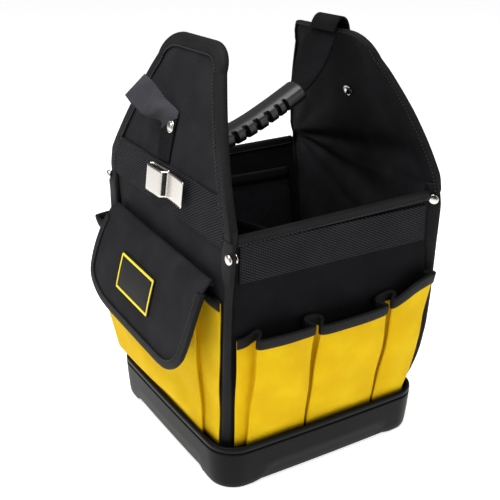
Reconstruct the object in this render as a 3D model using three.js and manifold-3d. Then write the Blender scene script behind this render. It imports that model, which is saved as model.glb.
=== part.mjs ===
// Open-top tool bag: a moulded base tray, four padded cloth walls, two tall end panels that lean
// together, outside pockets, a flap pocket, a tape clip and a padded carrying handle.
// Millimetres, +Z up. The origin is the middle of the tray's underside. The handle runs along X,
// the front wall faces -Y and the flap pocket is on the left end panel at -X.
import * as THREE from 'three';
import Module from 'manifold-3d';

const wasm = await Module();
wasm.setup();

// Tray
const TRAY_X = 125;
const TRAY_Y = 122.5;
const TRAY_CORNER = 30.5;
const TRAY_RIM = 49.5;
const TRAY_FLOOR = 5;
const FOOT_RISE = 8.8;
const FOOT_LENGTH = 42;
const CORNER_STEPS = 5;

// Cloth body: half sizes of the outer face, its corner radius and the cloth thicknesses
const BODY_X_LOW = 114;
const BODY_X_HIGH = 117;
const BODY_Y_LOW = 109;
const BODY_Y_HIGH = 122;
const BODY_CORNER_LOW = 16;
const BODY_CORNER_HIGH = 8;
const WALL_FOOT = TRAY_FLOOR + 1;
const WALL_TOP = 270;
const WALL_TILT = 3;
const WALL_THICK = 3;
const PANEL_THICK = 4.5;
const TAPE_THICK = 1.2;
const GAP = 0.4;
const POCKET_THICK = 1.4;
const POCKET_FOOT = TRAY_RIM + 1.5;
// Heights of the body at which the sewn pieces have rows of points
const BODY_ROWS = [POCKET_FOOT, 120, 200, 240];

// End panels above the walls
const EAR_FOOT = 275;
const EAR_HALF = 124;
const PANEL_TOP = 418;
const PANEL_ROUND_FROM = 396;
const PANEL_TOP_FLAT = 26;
const LEAN_LEFT = { from: 250, depth: 38.8 };
const LEAN_RIGHT = { from: 261, depth: 46.8 };
// How far each edge of an ear stands out beyond the even outline; minus and plus are the two ends of
// the side as seen from outside
const EAR_SPREAD = [
  { z: 275, left_minus: 6, left_plus: 0, right_minus: 1, right_plus: 1 },
  { z: 290, left_minus: 13, left_plus: 1, right_minus: 6, right_plus: 8 },
  { z: 320, left_minus: 11.5, left_plus: 1.5, right_minus: 9, right_plus: 11 },
  { z: 350, left_minus: 11, left_plus: 1.5, right_minus: 13, right_plus: 11.5 },
  { z: 418, left_minus: 11, left_plus: 0, right_minus: 12, right_plus: 11.5 },
];
const BULGE_RIGHT = { from: 230, out: 5.5 };
const PULL_FAR_RIGHT = 8;

const STYLES = {
  tray: { color: 0x242426, roughness: 0.5 },
  cloth: { color: 0x2a2a2d, roughness: 0.9 },
  lining: { color: 0x18181b, roughness: 0.9 },
  tape: { color: 0x303036, roughness: 0.85 },
  mesh: { color: 0x26262e, roughness: 0.9 },
  yellow: { color: 0xe9ba14, roughness: 0.85 },
  rubber: { color: 0x2e2e31, roughness: 0.6 },
  webbing: { color: 0x3a3a3e, roughness: 0.8 },
  nickel: { color: 0xc9c9c6, roughness: 0.25, metalness: 1 },
};

const bag = new THREE.Group();
bag.name = 'tool_bag';

// The right side bulges out between the tray and the top of the walls, with all that is sewn to it
const SIDE_BULGE = [
  { z: BODY_ROWS[0], out: 0 },
  { z: BODY_ROWS[1], out: 7 },
  { z: BODY_ROWS[2], out: 6.5 },
  { z: BODY_ROWS[3], out: 2.5 },
  { z: WALL_TOP, out: 0 },
];
const SIDE_BULGE_FROM = 45;
const SIDE_BULGE_OVER = 65;

function bulgeOut(geometry) {
  const place = geometry.attributes.position;
  for (let i = 0; i < place.count; i += 1) {
    const share = clamp01((place.getX(i) - SIDE_BULGE_FROM) / SIDE_BULGE_OVER);
    place.setX(i, place.getX(i) + readTable(SIDE_BULGE, 'z', 'out', place.getZ(i)) * share);
  }
}

function addPiece(name, geometry, style) {
  bulgeOut(geometry);
  const mesh = new THREE.Mesh(geometry, new THREE.MeshStandardMaterial(STYLES[style]));
  mesh.name = name;
  bag.add(mesh);
}

const mix = (a, b, t) => a + (b - a) * t;
const clamp01 = (t) => Math.min(1, Math.max(0, t));
const span = (from, to, steps) => Array.from({ length: steps + 1 }, (_, i) => mix(from, to, i / steps));

// Straight-line reading of one column of a table against another
function readTable(rows, key, column, value) {
  if (value <= rows[0][key]) return rows[0][column];
  for (let i = 1; i < rows.length; i += 1) {
    const low = rows[i - 1];
    const high = rows[i];
    if (value <= high[key]) return mix(low[column], high[column], (value - low[key]) / (high[key] - low[key]));
  }
  return rows[rows.length - 1][column];
}

// Mitred sideways step at place k of a flat path, so that a line shifted by it stays parallel.
// The step is to the left of the way the path runs.
function sideStep(path, k) {
  const way = (i, j) => {
    const length = Math.hypot(path[j][0] - path[i][0], path[j][1] - path[i][1]);
    return [(path[j][0] - path[i][0]) / length, (path[j][1] - path[i][1]) / length];
  };
  const [ax, ay] = k > 0 ? way(k - 1, k) : way(k, k + 1);
  const [bx, by] = k + 1 < path.length ? way(k, k + 1) : way(k - 1, k);
  const share = 1 / Math.max(0.3, 1 + ax * bx + ay * by);
  return [-(ay + by) * share, (ax + bx) * share];
}

// Closed solid from points and triangles, turned so that its volume is positive
function closedSolid(points, triangles) {
  let volume = 0;
  for (const [a, b, c] of triangles) {
    volume += points[a].dot(new THREE.Vector3().crossVectors(points[b], points[c]));
  }
  const index = triangles.flatMap(([a, b, c]) => (volume < 0 ? [a, c, b] : [a, b, c]));
  const geometry = new THREE.BufferGeometry();
  geometry.setAttribute('position', new THREE.Float32BufferAttribute(points.flatMap((p) => p.toArray()), 3));
  geometry.setIndex(index);
  geometry.computeVertexNormals();
  return geometry;
}

// Loft through rings of equal length; the two end rings are capped with the section's own triangles
function loft(rings, section) {
  const count = rings[0].length;
  const points = rings.flat();
  const triangles = [];
  for (let r = 0; r + 1 < rings.length; r += 1) {
    for (let i = 0; i < count; i += 1) {
      const j = (i + 1) % count;
      const low = r * count;
      const high = low + count;
      triangles.push([low + i, low + j, high + j], [low + i, high + j, high + i]);
    }
  }
  const flat = section.map(([a, b]) => new THREE.Vector2(a, b));
  const turn = THREE.ShapeUtils.isClockWise(flat) ? -1 : 1;
  const last = (rings.length - 1) * count;
  for (const [a, b, c] of THREE.ShapeUtils.triangulateShape(flat, [])) {
    const [p, q] = turn > 0 ? [b, c] : [c, b];
    triangles.push([a, q, p], [last + a, last + p, last + q]);
  }
  return closedSolid(points, triangles);
}

// Sheet of cloth between two grids of points that face each other
function sheet(front, back) {
  const rows = front.length;
  const cols = front[0].length;
  const points = [...front.flat(), ...back.flat()];
  const half = rows * cols;
  const triangles = [];
  const quad = (a, b, c, d) => triangles.push([a, b, c], [a, c, d]);
  for (let r = 0; r + 1 < rows; r += 1) {
    for (let c = 0; c + 1 < cols; c += 1) {
      const a = r * cols + c;
      quad(a, a + 1, a + cols + 1, a + cols);
      quad(half + a, half + a + cols, half + a + cols + 1, half + a + 1);
    }
  }
  const rim = [];
  for (let c = 0; c < cols; c += 1) rim.push(c);
  for (let r = 1; r < rows; r += 1) rim.push(r * cols + cols - 1);
  for (let c = cols - 2; c >= 0; c -= 1) rim.push((rows - 1) * cols + c);
  for (let r = rows - 2; r > 0; r -= 1) rim.push(r * cols);
  rim.forEach((a, i) => {
    const b = rim[(i + 1) % rim.length];
    quad(b, a, half + a, half + b);
  });
  return closedSolid(points, triangles);
}

function toManifold(geometry) {
  const mesh = new wasm.Mesh({
    numProp: 3,
    vertProperties: new Float32Array(geometry.attributes.position.array),
    triVerts: new Uint32Array(geometry.index.array),
  });
  mesh.merge();
  return new wasm.Manifold(mesh);
}

function fromManifold(solid) {
  const mesh = solid.getMesh();
  const points = [];
  for (let i = 0; i < mesh.numVert; i += 1) {
    points.push(new THREE.Vector3(...mesh.vertProperties.slice(i * mesh.numProp, i * mesh.numProp + 3)));
  }
  const triangles = [];
  for (let i = 0; i < mesh.numTri; i += 1) triangles.push([...mesh.triVerts.slice(i * 3, i * 3 + 3)]);
  return closedSolid(points, triangles);
}

// Solid of revolution round +Z at the origin, turned to point along an axis and put at a place
function turned(profile, steps, axis, place) {
  const rings = profile.filter(([radius]) => radius > 0).map(([radius, height]) =>
    span(0, Math.PI * 2, steps).slice(0, steps).map((a) =>
      new THREE.Vector3(radius * Math.cos(a), radius * Math.sin(a), height)));
  const circle = rings[0].map((p) => [p.x, p.y]);
  const geometry = loft(rings, circle);
  const turn = new THREE.Quaternion().setFromUnitVectors(new THREE.Vector3(0, 0, 1), axis);
  geometry.applyQuaternion(turn);
  geometry.translate(place.x, place.y, place.z);
  return geometry;
}

// Base tray: a rounded rectangle lofted up the outside, over the rim and down the inside.
// Columns: inset from the outer size, height.
const TRAY_PROFILE = [
  { inset: 8, z: 0 },
  { inset: 4.6, z: 1.2 },
  { inset: 3, z: 4 },
  { inset: 2.2, z: 9 },
  { inset: 1, z: 24 },
  { inset: 0, z: 42 },
  { inset: 1.4, z: 42.3 },
  { inset: 1.4, z: 43.7 },
  { inset: 0, z: 44 },
  { inset: 0, z: 48.1 },
  { inset: 1.2, z: TRAY_RIM },
  { inset: 4, z: TRAY_RIM },
  { inset: 4, z: TRAY_FLOOR },
];

function roundedRing(halfX, halfY, radius, z) {
  const ring = [];
  for (let quarter = 0; quarter < 4; quarter += 1) {
    const sx = quarter === 0 || quarter === 3 ? 1 : -1;
    const sy = quarter < 2 ? 1 : -1;
    for (const step of span(0, 1, CORNER_STEPS)) {
      const angle = (quarter + step) * Math.PI / 2;
      const x = sx * (halfX - radius) + radius * Math.cos(angle);
      const y = sy * (halfY - radius) + radius * Math.sin(angle);
      ring.push(new THREE.Vector3(x, y, z));
    }
  }
  return ring;
}

function makeTray() {
  const rings = TRAY_PROFILE.map(({ inset, z }) =>
    roundedRing(TRAY_X - inset, TRAY_Y - inset, TRAY_CORNER - inset, z));
  let tray = toManifold(loft(rings, rings[0].map((p) => [p.x, p.y])));
  const reach = 12;
  for (const [half, length, turn] of [[TRAY_Y, TRAY_X, 0], [TRAY_X, TRAY_Y, 1]]) {
    const low = length - FOOT_LENGTH;
    const notch = new THREE.Shape([
      new THREE.Vector2(-low, -1),
      new THREE.Vector2(low, -1),
      new THREE.Vector2(low - FOOT_RISE - 1, FOOT_RISE),
      new THREE.Vector2(-low + FOOT_RISE + 1, FOOT_RISE),
    ]);
    for (const side of [-1, 1]) {
      const cut = new THREE.ExtrudeGeometry(notch, { depth: reach, bevelEnabled: false });
      cut.rotateX(Math.PI / 2);
      cut.translate(0, side * half + reach / 2, 0);
      cut.rotateZ(turn * Math.PI / 2);
      const indexed = closedSolid(
        Array.from({ length: cut.attributes.position.count }, (_, i) =>
          new THREE.Vector3().fromBufferAttribute(cut.attributes.position, i)),
        Array.from({ length: cut.attributes.position.count / 3 }, (_, i) => [3 * i, 3 * i + 1, 3 * i + 2]),
      );
      tray = tray.subtract(toManifold(indexed));
    }
  }
  return fromManifold(tray);
}
addPiece('base_tray', makeTray(), 'tray');

// The cloth body: how far out each side stands, how long it is and how round its corners are
const bodyShare = (z) => clamp01((z - TRAY_RIM) / (WALL_TOP - TRAY_RIM));
const bodyX = (z) => mix(BODY_X_LOW, BODY_X_HIGH, bodyShare(z));
const bodyY = (z) => mix(BODY_Y_LOW, BODY_Y_HIGH, bodyShare(z));
const bodyCorner = (z) => mix(BODY_CORNER_LOW, BODY_CORNER_HIGH, bodyShare(z));

function lean(z, { from, depth }) {
  const t = Math.max(0, (z - from) / (PANEL_TOP - from));
  return depth * t * t * (1.3 - 0.3 * t);
}

// The right panel bulges out between its corners and above them, and is pulled in along its far edge
function warp(along, z) {
  const swell = clamp01((z - BULGE_RIGHT.from) / (EAR_FOOT - BULGE_RIGHT.from));
  const inside = z < EAR_FOOT ? clamp01((bodyY(z) - bodyCorner(z) - Math.abs(along)) / 60) : 1;
  const bulge = BULGE_RIGHT.out * swell * inside;
  const rise = clamp01((z - EAR_FOOT + 1) / (PANEL_TOP - EAR_FOOT + 1));
  const far = 0.5 + 0.5 * along / panelHalf(Math.max(z, EAR_FOOT));
  return bulge - PULL_FAR_RIGHT * Math.sin(Math.PI * rise) * far;
}

// Soft folds that fan out from the right panel's far lower corner
const FOLD_CENTRE = { along: 120, z: 258 };
const FOLDS = [
  { angle: 2.72, width: 0.1, height: 3.4 },
  { angle: 2.4, width: 0.11, height: -2.4 },
  { angle: 2.1, width: 0.12, height: 2.6 },
];

function crease(along, z) {
  const across = FOLD_CENTRE.along - along;
  const rise = z - FOLD_CENTRE.z;
  const reach = Math.hypot(across, rise);
  const angle = Math.PI - Math.atan2(rise, across);
  const inside = clamp01((panelHalf(Math.max(z, EAR_FOOT)) - Math.abs(along) - 15) / 20);
  const fade = inside * clamp01(reach / 40) * clamp01((150 - reach) / 80);
  return fade * FOLDS.reduce((sum, f) => sum + f.height * Math.exp(-(((angle - f.angle) / f.width) ** 2)), 0);
}

// Charts of the four sides: along is to the right as seen from outside, out is away from the middle
const SIDES = {
  front: { place: (along, out, z) => new THREE.Vector3(along, -out, z) },
  rear: { place: (along, out, z) => new THREE.Vector3(-along, out, z) },
  left: { place: (along, out, z) => new THREE.Vector3(-out, -along, z) },
  right: { place: (along, out, z) => new THREE.Vector3(out, along, z) },
};
const isEnd = (side) => side === 'left' || side === 'right';

function sideOut(side, along, z) {
  if (side === 'left') return bodyX(z) - lean(z, LEAN_LEFT);
  if (side === 'right') return bodyX(z) - lean(z, LEAN_RIGHT) + warp(along, z) + crease(along, z);
  return bodyY(z);
}
const sideHalf = (side, z) => (isEnd(side) ? bodyY(z) : bodyX(z));

// Length from the middle of a side to the middle of its corner, along the cloth
const sideEnd = (side, z) => sideHalf(side, z) - bodyCorner(z) * (1 - Math.PI / 4);

// Point on a side that follows the round corners, and on a flat side that does not
function onSide(side, s, z, offset) {
  const radius = bodyCorner(z);
  const straight = sideHalf(side, z) - radius;
  const angle = Math.max(0, (Math.abs(s) - straight) / radius);
  const along = Math.sign(s) * (Math.min(Math.abs(s), straight) + (radius + offset) * Math.sin(angle));
  const out = sideOut(side, along, z) - radius + (radius + offset) * Math.cos(angle);
  return SIDES[side].place(along, out, z);
}
const onFlat = (side, s, z, offset) => SIDES[side].place(s, sideOut(side, s, z) + offset, z);

// Front and rear walls
// Their top edges rise a little towards the right end.
const WALL_HEIGHTS = [WALL_FOOT, ...BODY_ROWS, WALL_TOP];
const SEAM = 1;
const wallTop = (side, s) => WALL_TOP + WALL_TILT * (side === 'front' ? s : -s) / BODY_X_HIGH;

function wallColumns(side, z, end) {
  const straight = sideHalf(side, z) - bodyCorner(z);
  const arc = span(straight, end, 3);
  const inner = span(-0.6, 0.6, 3).map((u) => u * straight);
  return [...arc.slice().reverse().map((s) => -s), ...inner, ...arc];
}

function makeWall(side) {
  const grid = (offset) => WALL_HEIGHTS.map((z) =>
    wallColumns(side, z, sideEnd(side, z) - SEAM).map((s) =>
      onSide(side, s, z === WALL_TOP ? wallTop(side, s) : z, offset)));
  return sheet(grid(0), grid(-WALL_THICK));
}
addPiece('front_wall', makeWall('front'), 'cloth');
addPiece('rear_wall', makeWall('rear'), 'cloth');

// End panels: the lower part is a wall, the ears above it narrow towards a rounded top
function panelHalf(z) {
  const rise = Math.min(z, PANEL_ROUND_FROM) - EAR_FOOT;
  const slanted = EAR_HALF - 0.535 * rise - 0.00027 * rise * rise;
  const t = clamp01((z - PANEL_ROUND_FROM) / (PANEL_TOP - PANEL_ROUND_FROM));
  return PANEL_TOP_FLAT + (slanted - PANEL_TOP_FLAT) * Math.sqrt(1 - t * t);
}
const earMinus = (side, z) => -panelHalf(z) - readTable(EAR_SPREAD, 'z', `${side}_minus`, z);
const earPlus = (side, z) => panelHalf(z) + readTable(EAR_SPREAD, 'z', `${side}_plus`, z);
const PANEL_LOWER = [WALL_FOOT, ...BODY_ROWS, 258, EAR_FOOT - 1];
const PANEL_UPPER = [EAR_FOOT, 286, 298, 315, 335, 356, 377, PANEL_ROUND_FROM, 407, 413.5, 417, PANEL_TOP];

function makePanel(side) {
  const grid = (offset) => [
    ...PANEL_LOWER.map((z) => wallColumns(side, z, sideEnd(side, z) - SEAM).map((s) => onSide(side, s, z, offset))),
    ...PANEL_UPPER.map((z) => span(earMinus(side, z), earPlus(side, z), 11).map((s) => onFlat(side, s, z, offset))),
  ];
  return sheet(grid(0), grid(-PANEL_THICK));
}
addPiece('end_panel_left', makePanel('left'), 'cloth');
addPiece('end_panel_right', makePanel('right'), 'cloth');

// Folded tape over a cloth edge: two legs joined over the edge.
// The section is in lengths beyond the edge and distances from the middle of the cloth.
function tapeSection(half, leg, over) {
  const inner = half + GAP;
  const outer = inner + TAPE_THICK;
  return [
    [-leg, inner], [-leg, outer], [over, outer], [over, -outer],
    [-leg, -outer], [-leg, -inner], [GAP + 0.2, -inner], [GAP + 0.2, inner],
  ];
}

// Points along an outline with the direction that points away from the cloth
function withNormals(outline) {
  return outline.map(([s, z], i) => {
    const [stepS, stepZ] = sideStep(outline, i);
    return { s, z, ns: -stepS, nz: -stepZ };
  });
}

function edgeTape(outline, section, surface) {
  const rings = withNormals(outline).map(({ s, z, ns, nz }) =>
    section.map(([beyond, across]) => surface(s + ns * beyond, z + nz * beyond, across)));
  return loft(rings, section);
}

const PANEL_TAPE = tapeSection(PANEL_THICK / 2 + 0.3, 11, 2);

function makePanelBinding(side) {
  const heights = [EAR_FOOT + 6, ...PANEL_UPPER.slice(1, -1)];
  const rising = heights.map((z) => [earPlus(side, z), z]);
  const top = span(earPlus(side, PANEL_TOP), earMinus(side, PANEL_TOP), 4).map((s) => [s, PANEL_TOP]);
  const falling = heights.slice().reverse().map((z) => [earMinus(side, z), z]);
  const outline = [...rising, ...top, ...falling];
  return edgeTape(outline, PANEL_TAPE, (s, z, across) => onFlat(side, s, z, across - PANEL_THICK / 2));
}
addPiece('panel_binding_left', makePanelBinding('left'), 'tape');
addPiece('panel_binding_right', makePanelBinding('right'), 'tape');

// Corner strips: flat on the round corner at the tray and standing out as a fin at the rivet.
// Columns: height, half the width, share of the turn from the corner's diagonal to the fin
const STRIP_ROWS = [
  { z: BODY_ROWS[0], half: 7.4, turn: 0 },
  { z: BODY_ROWS[1], half: 6.8, turn: 0.05 },
  { z: BODY_ROWS[2], half: 5.7, turn: 0.45 },
  { z: BODY_ROWS[3], half: 4.6, turn: 1 },
  { z: WALL_TOP, half: 4, turn: 1 },
];
// Depths of the strips at these heights; the right ones stand out all the way down
const STRIP_FRONT_LEFT = [2.6, 3.3, 6.6, 10, 12];
const STRIP_REAR_LEFT = [2.6, 3.3, 7.6, 13.5, 17];
const STRIP_RIGHT = [4, 7, 9, 11, 12];
// Columns: signs of the corner, the way the fin points at its top, height of the rivet, how far out
// along the fin it sits and the strip's depths.
const CORNERS = [
  { name: 'front_left', sx: -1, sy: -1, finX: 0, finY: -1, rivetZ: 252, rivetOut: 6, depths: STRIP_FRONT_LEFT },
  {
    name: 'front_right', sx: 1, sy: -1, finX: Math.SQRT1_2, finY: -Math.SQRT1_2, rivetZ: 264, rivetOut: 6,
    depths: STRIP_RIGHT,
  },
  { name: 'rear_left', sx: -1, sy: 1, finX: 0, finY: 1, rivetZ: 258, rivetOut: 9, depths: STRIP_REAR_LEFT },
  {
    name: 'rear_right', sx: 1, sy: 1, finX: Math.SQRT1_2, finY: Math.SQRT1_2, rivetZ: 264, rivetOut: 6,
    depths: STRIP_RIGHT,
  },
];
const STRIP_SECTION = [
  [-1, 0], [1, 0], [1, 0.55], [0.75, 0.9], [0.3, 1], [-0.3, 1], [-0.75, 0.9], [-1, 0.55],
];
const RIVET_SHANK = 2;
const RIVET_CAP = 5;

function stripFrame(corner, z, turn) {
  const radius = bodyCorner(z);
  const toDiagonal = (half) => half - radius * (1 - Math.SQRT1_2);
  const diagonal = new THREE.Vector2(corner.sx, corner.sy).normalize();
  const fin = new THREE.Vector2(corner.finX, corner.finY);
  const out = diagonal.clone().lerp(fin, turn).normalize();
  const low = new THREE.Vector2(corner.sx * toDiagonal(bodyX(z)), corner.sy * toDiagonal(bodyY(z)))
    .addScaledVector(diagonal, GAP);
  const high = corner.finX ? low.clone() : new THREE.Vector2(corner.sx * (bodyX(z) - 2), corner.sy * (bodyY(z) + GAP));
  const swing = corner.finX ? 0 : 2.2 * Math.sin(Math.PI * turn);
  const foot = low.lerp(high, turn).addScaledVector(out, swing);
  return { foot, out, across: new THREE.Vector2(-out.y, out.x) };
}

function makeStrip(corner) {
  const rings = STRIP_ROWS.map(({ z, half, turn }, row) => {
    const { foot, out, across } = stripFrame(corner, z, turn);
    return STRIP_SECTION.map(([a, d]) => new THREE.Vector3(
      foot.x + across.x * a * half + out.x * d * corner.depths[row],
      foot.y + across.y * a * half + out.y * d * corner.depths[row],
      z,
    ));
  });
  const solid = toManifold(loft(rings, STRIP_SECTION));
  const { place, axis } = rivetPlace(corner);
  const hole = turned([[RIVET_SHANK + GAP, -20], [RIVET_SHANK + GAP, 20]], 12, axis, place);
  return fromManifold(solid.subtract(toManifold(hole)));
}

// Each rivet runs across its fin
function rivetPlace(corner) {
  const { foot, out, across } = stripFrame(corner, corner.rivetZ, 1);
  const middle = foot.clone().addScaledVector(out, corner.rivetOut);
  const axis = across.clone().multiplyScalar(Math.sign(across.x * corner.sx));
  return { place: new THREE.Vector3(middle.x, middle.y, corner.rivetZ), axis: new THREE.Vector3(axis.x, axis.y, 0) };
}

const FIN_HALF = 5;
const RIVET_PROFILE = [
  [RIVET_CAP, -FIN_HALF - 1.2],
  [RIVET_CAP, -FIN_HALF],
  [RIVET_SHANK, -FIN_HALF],
  [RIVET_SHANK, FIN_HALF],
  [RIVET_CAP, FIN_HALF],
  [RIVET_CAP * 0.9, FIN_HALF + 1.3],
  [RIVET_CAP * 0.45, FIN_HALF + 2.6],
];

for (const corner of CORNERS) {
  const { place, axis } = rivetPlace(corner);
  addPiece(`corner_strip_${corner.name}`, makeStrip(corner), 'tape');
  addPiece(`corner_rivet_${corner.name}`, turned(RIVET_PROFILE, 12, axis, place), 'nickel');
}

// Tape folded over the top edge of the front and rear walls, and the mesh band below it
const WALL_TAPE = tapeSection(WALL_THICK / 2, 11, 2);
const BAND_FOOT = 220;
const BAND_TOP = 255;
const BAND_THICK = 1.5;

function makeWallBinding(side) {
  const end = sideEnd(side, WALL_TOP) - 9;
  const outline = span(end, -end, 6).map((s) => [s, wallTop(side, s)]);
  return edgeTape(outline, WALL_TAPE, (s, z, across) => onFlat(side, s, z, across - WALL_THICK / 2));
}

function makeBand(side, foot, top, half) {
  const grid = (offset) => span(foot, top, 3).map((z) =>
    span(-1, 1, 4).map((u) => onFlat(side, u * half(z), z, offset)));
  return sheet(grid(GAP + BAND_THICK), grid(GAP));
}

for (const side of ['front', 'rear']) {
  addPiece(`${side}_top_binding`, makeWallBinding(side), 'tape');
  addPiece(`${side}_mesh_band`, makeBand(side, BAND_FOOT, BAND_TOP, (z) => sideEnd(side, z) - 11), 'mesh');
}

// Outside pockets: one length of cloth laid in box pleats between flat faces.
// A pleat goes back to the wall between two faces: columns are the share of the neck's half width,
// the share of the bulb's half width, and the depth from the wall (0) to the face (1).
const PLEAT_RIGHT_HALF = [
  { neck: 0, bulb: 0.75, depth: 0.06 },
  { neck: 0, bulb: 1, depth: 0.34 },
  { neck: 1, bulb: 0.12, depth: 0.74 },
  { neck: 1, bulb: 0, depth: 1 },
];
const POCKET_TAPE_LEG = 9;
const END_TUCK = 5;
const PLEAT_RISE = 4;
const wallOffset = (v) => mix(1.4, 2.9, v);

// Path of a pocket's cloth at one height share v: list of places along the side, offset and top height
function pocketPath(pocket, v) {
  const neck = mix(1.8, 3.6, v);
  const bulb = mix(4.6, pocket.bulb, v);
  const full = Math.sin(Math.PI * Math.min(1, 0.25 + v * 0.6));
  const face = (i) => mix(6.2, pocket.faces[i].out, v ** 0.85);
  const swellFrom = (i) => (pocket.faces[i].swellFrom ?? 0) * Math.sin(Math.PI * Math.min(0.95, 0.2 + 0.8 * v));
  const last = pocket.faces.length - 1;
  const z = mix(POCKET_FOOT, pocket.faces[0].top, v);
  const end = sideEnd(pocket.side, z) - mix(9.4, 8.6, v);
  const tucked = end - END_TUCK * Math.sin(Math.PI * v);
  const path = [];
  const half = (fold, sign, i, mirror) => {
    const rows = PLEAT_RIGHT_HALF.map((row) => ({
      s: fold + sign * (row.neck * neck + row.bulb * bulb),
      offset: mix(wallOffset(v), face(i) + (sign > 0 ? swellFrom(i) : 0), row.depth),
      top: (sign > 0 ? pocket.faces[i].top : pocket.faces[i].topRight) + PLEAT_RISE * (1 - row.depth),
    }));
    path.push(...(mirror ? rows.reverse() : rows));
  };
  pocket.faces.forEach((item, i) => {
    const from = mix(item.fromFoot ?? item.from, item.from, v);
    if (i === 0) {
      path.push({ s: -end, offset: wallOffset(v), top: item.top });
      path.push({ s: mix(-end, from + 0.75 * bulb, 0.5), offset: wallOffset(v), top: item.top });
    }
    half(from, 1, i, false);
    const right = i === last && !pocket.endPleat ? tucked - 8 : item.to;
    for (const u of [0.25, 0.5, 0.75]) {
      const swell = item.swell * Math.sin(Math.PI * u) * full + swellFrom(i) * (1 - u);
      path.push({
        s: mix(from + neck, right - neck, u),
        offset: face(i) + swell,
        top: mix(item.top, item.topRight, u),
      });
    }
    if (i < last || pocket.endPleat) half(item.to, -1, i, true);
    if (i < last) {
      const top = mix(item.topRight, pocket.faces[i + 1].top, 0.5) + PLEAT_RISE;
      path.push({ s: item.to, offset: wallOffset(v), top });
    }
    if (i === last && pocket.endPleat) {
      path.push({ s: mix(end, item.to - 0.75 * bulb, 0.5), offset: wallOffset(v), top: item.topRight });
    }
    if (i === last && !pocket.endPleat) {
      path.push({ s: tucked - 4, offset: face(i), top: item.topRight });
      path.push({ s: tucked + mix(0.2, 2.6, v), offset: mix(wallOffset(v), face(i), 0.8), top: item.topRight });
      path.push({ s: tucked + mix(0.2, 1, v), offset: mix(wallOffset(v), face(i), 0.35), top: item.topRight });
    }
    if (i === last) path.push({ s: end, offset: wallOffset(v), top: item.topRight });
  });
  return path;
}

// Point on the pocket's cloth: place k of the path, height share v, distance from the cloth's middle
function pocketPoint(pocket, path, k, v, across, rise = 0) {
  const [stepS, stepOut] = sideStep(path.map((place) => [place.s, place.offset]), k);
  const s = path[k].s + stepS * across;
  const offset = path[k].offset + stepOut * across;
  return onSide(pocket.side, s, mix(POCKET_FOOT, path[k].top, v) + rise, offset);
}

function makePocket(pocket) {
  const tapeShare = 1 - POCKET_TAPE_LEG / (pocket.faces[0].top - POCKET_FOOT);
  const grid = (across) => [...pocket.shares, tapeShare, 1].map((v) => {
    const path = pocketPath(pocket, v);
    return path.map((_, k) => pocketPoint(pocket, path, k, v, across));
  });
  return sheet(grid(POCKET_THICK / 2), grid(-POCKET_THICK / 2));
}

function makePocketBinding(pocket) {
  const inner = POCKET_THICK / 2 + 0.5;
  const outer = inner + 0.9;
  const leg = POCKET_TAPE_LEG;
  const section = [
    [-leg, inner], [-leg, outer], [2, outer], [2, -outer],
    [-leg, -outer], [-leg, -inner], [0.9, -inner], [0.9, inner],
  ];
  const height = pocket.faces[0].top - POCKET_FOOT;
  const pathAtTop = pocketPath(pocket, 1);
  const pathAtLeg = pocketPath(pocket, 1 - leg / height);
  const rings = pathAtTop.map((_, k) => section.map(([beyond, across]) => (beyond < 0
    ? pocketPoint(pocket, pathAtLeg, k, 1 - leg / height, across)
    : pocketPoint(pocket, pathAtTop, k, 1, across, beyond))));
  return loft(rings, section);
}

// Columns of the faces: where each starts and ends along the side, how far its mouth stands out,
// the heights of its mouth at both ends and how much its middle swells; the left one is narrower at its foot
const WALL_FACES = [
  { from: -94, to: -24, out: 15, top: 166, topRight: 165, swell: 3 },
  { from: -24, to: 61, out: 16, top: 163, topRight: 165, swell: 4 },
  { from: 61, to: 112, out: 14, top: 168, topRight: 180, swell: 3 },
];
const WALL_SHARES = [0, 0.3, 0.6];
const POCKETS = {
  front_pocket: { side: 'front', faces: WALL_FACES, endPleat: false, bulb: 10, shares: WALL_SHARES },
  rear_pocket: { side: 'rear', faces: WALL_FACES, endPleat: false, bulb: 10, shares: WALL_SHARES },
  left_pocket: {
    side: 'left',
    faces: [{ from: -103, fromFoot: -96, to: 74, out: 16, top: 199, topRight: 203, swell: 6, swellFrom: 16 }],
    endPleat: true,
    bulb: 11,
    shares: [0, 0.25, 0.5, 0.75],
  },
  right_pocket: {
    side: 'right',
    faces: [{ from: -88, to: 88, out: 14, top: 192, topRight: 192, swell: 5 }],
    endPleat: true,
    bulb: 9,
    shares: [0, 0.49, 0.75],
  },
};
for (const [name, pocket] of Object.entries(POCKETS)) {
  addPiece(name, makePocket(pocket), 'yellow');
  addPiece(`${name}_binding`, makePocketBinding(pocket), 'tape');
}

// Flap over the left pocket: sewn to the panel, bent outwards and hanging clear of the pocket.
// Columns: height, distance out from the panel, places of its far and near edge along the side.
const FLAP_THICK = 2.2;
const FLAP_ROOT = [
  { z: 228, out: 2, far: -110, near: 91 },
  { z: 232.5, out: 3.2, far: -112, near: 92 },
  { z: 234.5, out: 6.4, far: -114, near: 92.5 },
  { z: 232.5, out: 10.6, far: -115.5, near: 92.5 },
];
const FLAP_HANG = [
  { z: 132, out: 39.2, far: -58, near: 46 },
  { z: 134, out: 39, far: -73, near: 58 },
  { z: 138, out: 38.5, far: -86, near: 69 },
  { z: 145, out: 37.5, far: -97, near: 78 },
  { z: 156, out: 35.5, far: -106.5, near: 85 },
  { z: 180, out: 30, far: -113.5, near: 90 },
  { z: 207, out: 22.8, far: -116, near: 92 },
  { z: 225, out: 15.6, far: -116.5, near: 92.5 },
];
const flapOut = (z) => readTable(FLAP_HANG, 'z', 'out', z);
const onFlap = (s, z, across) => SIDES.left.place(s, BODY_X_HIGH + flapOut(z) + across, z);

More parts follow.
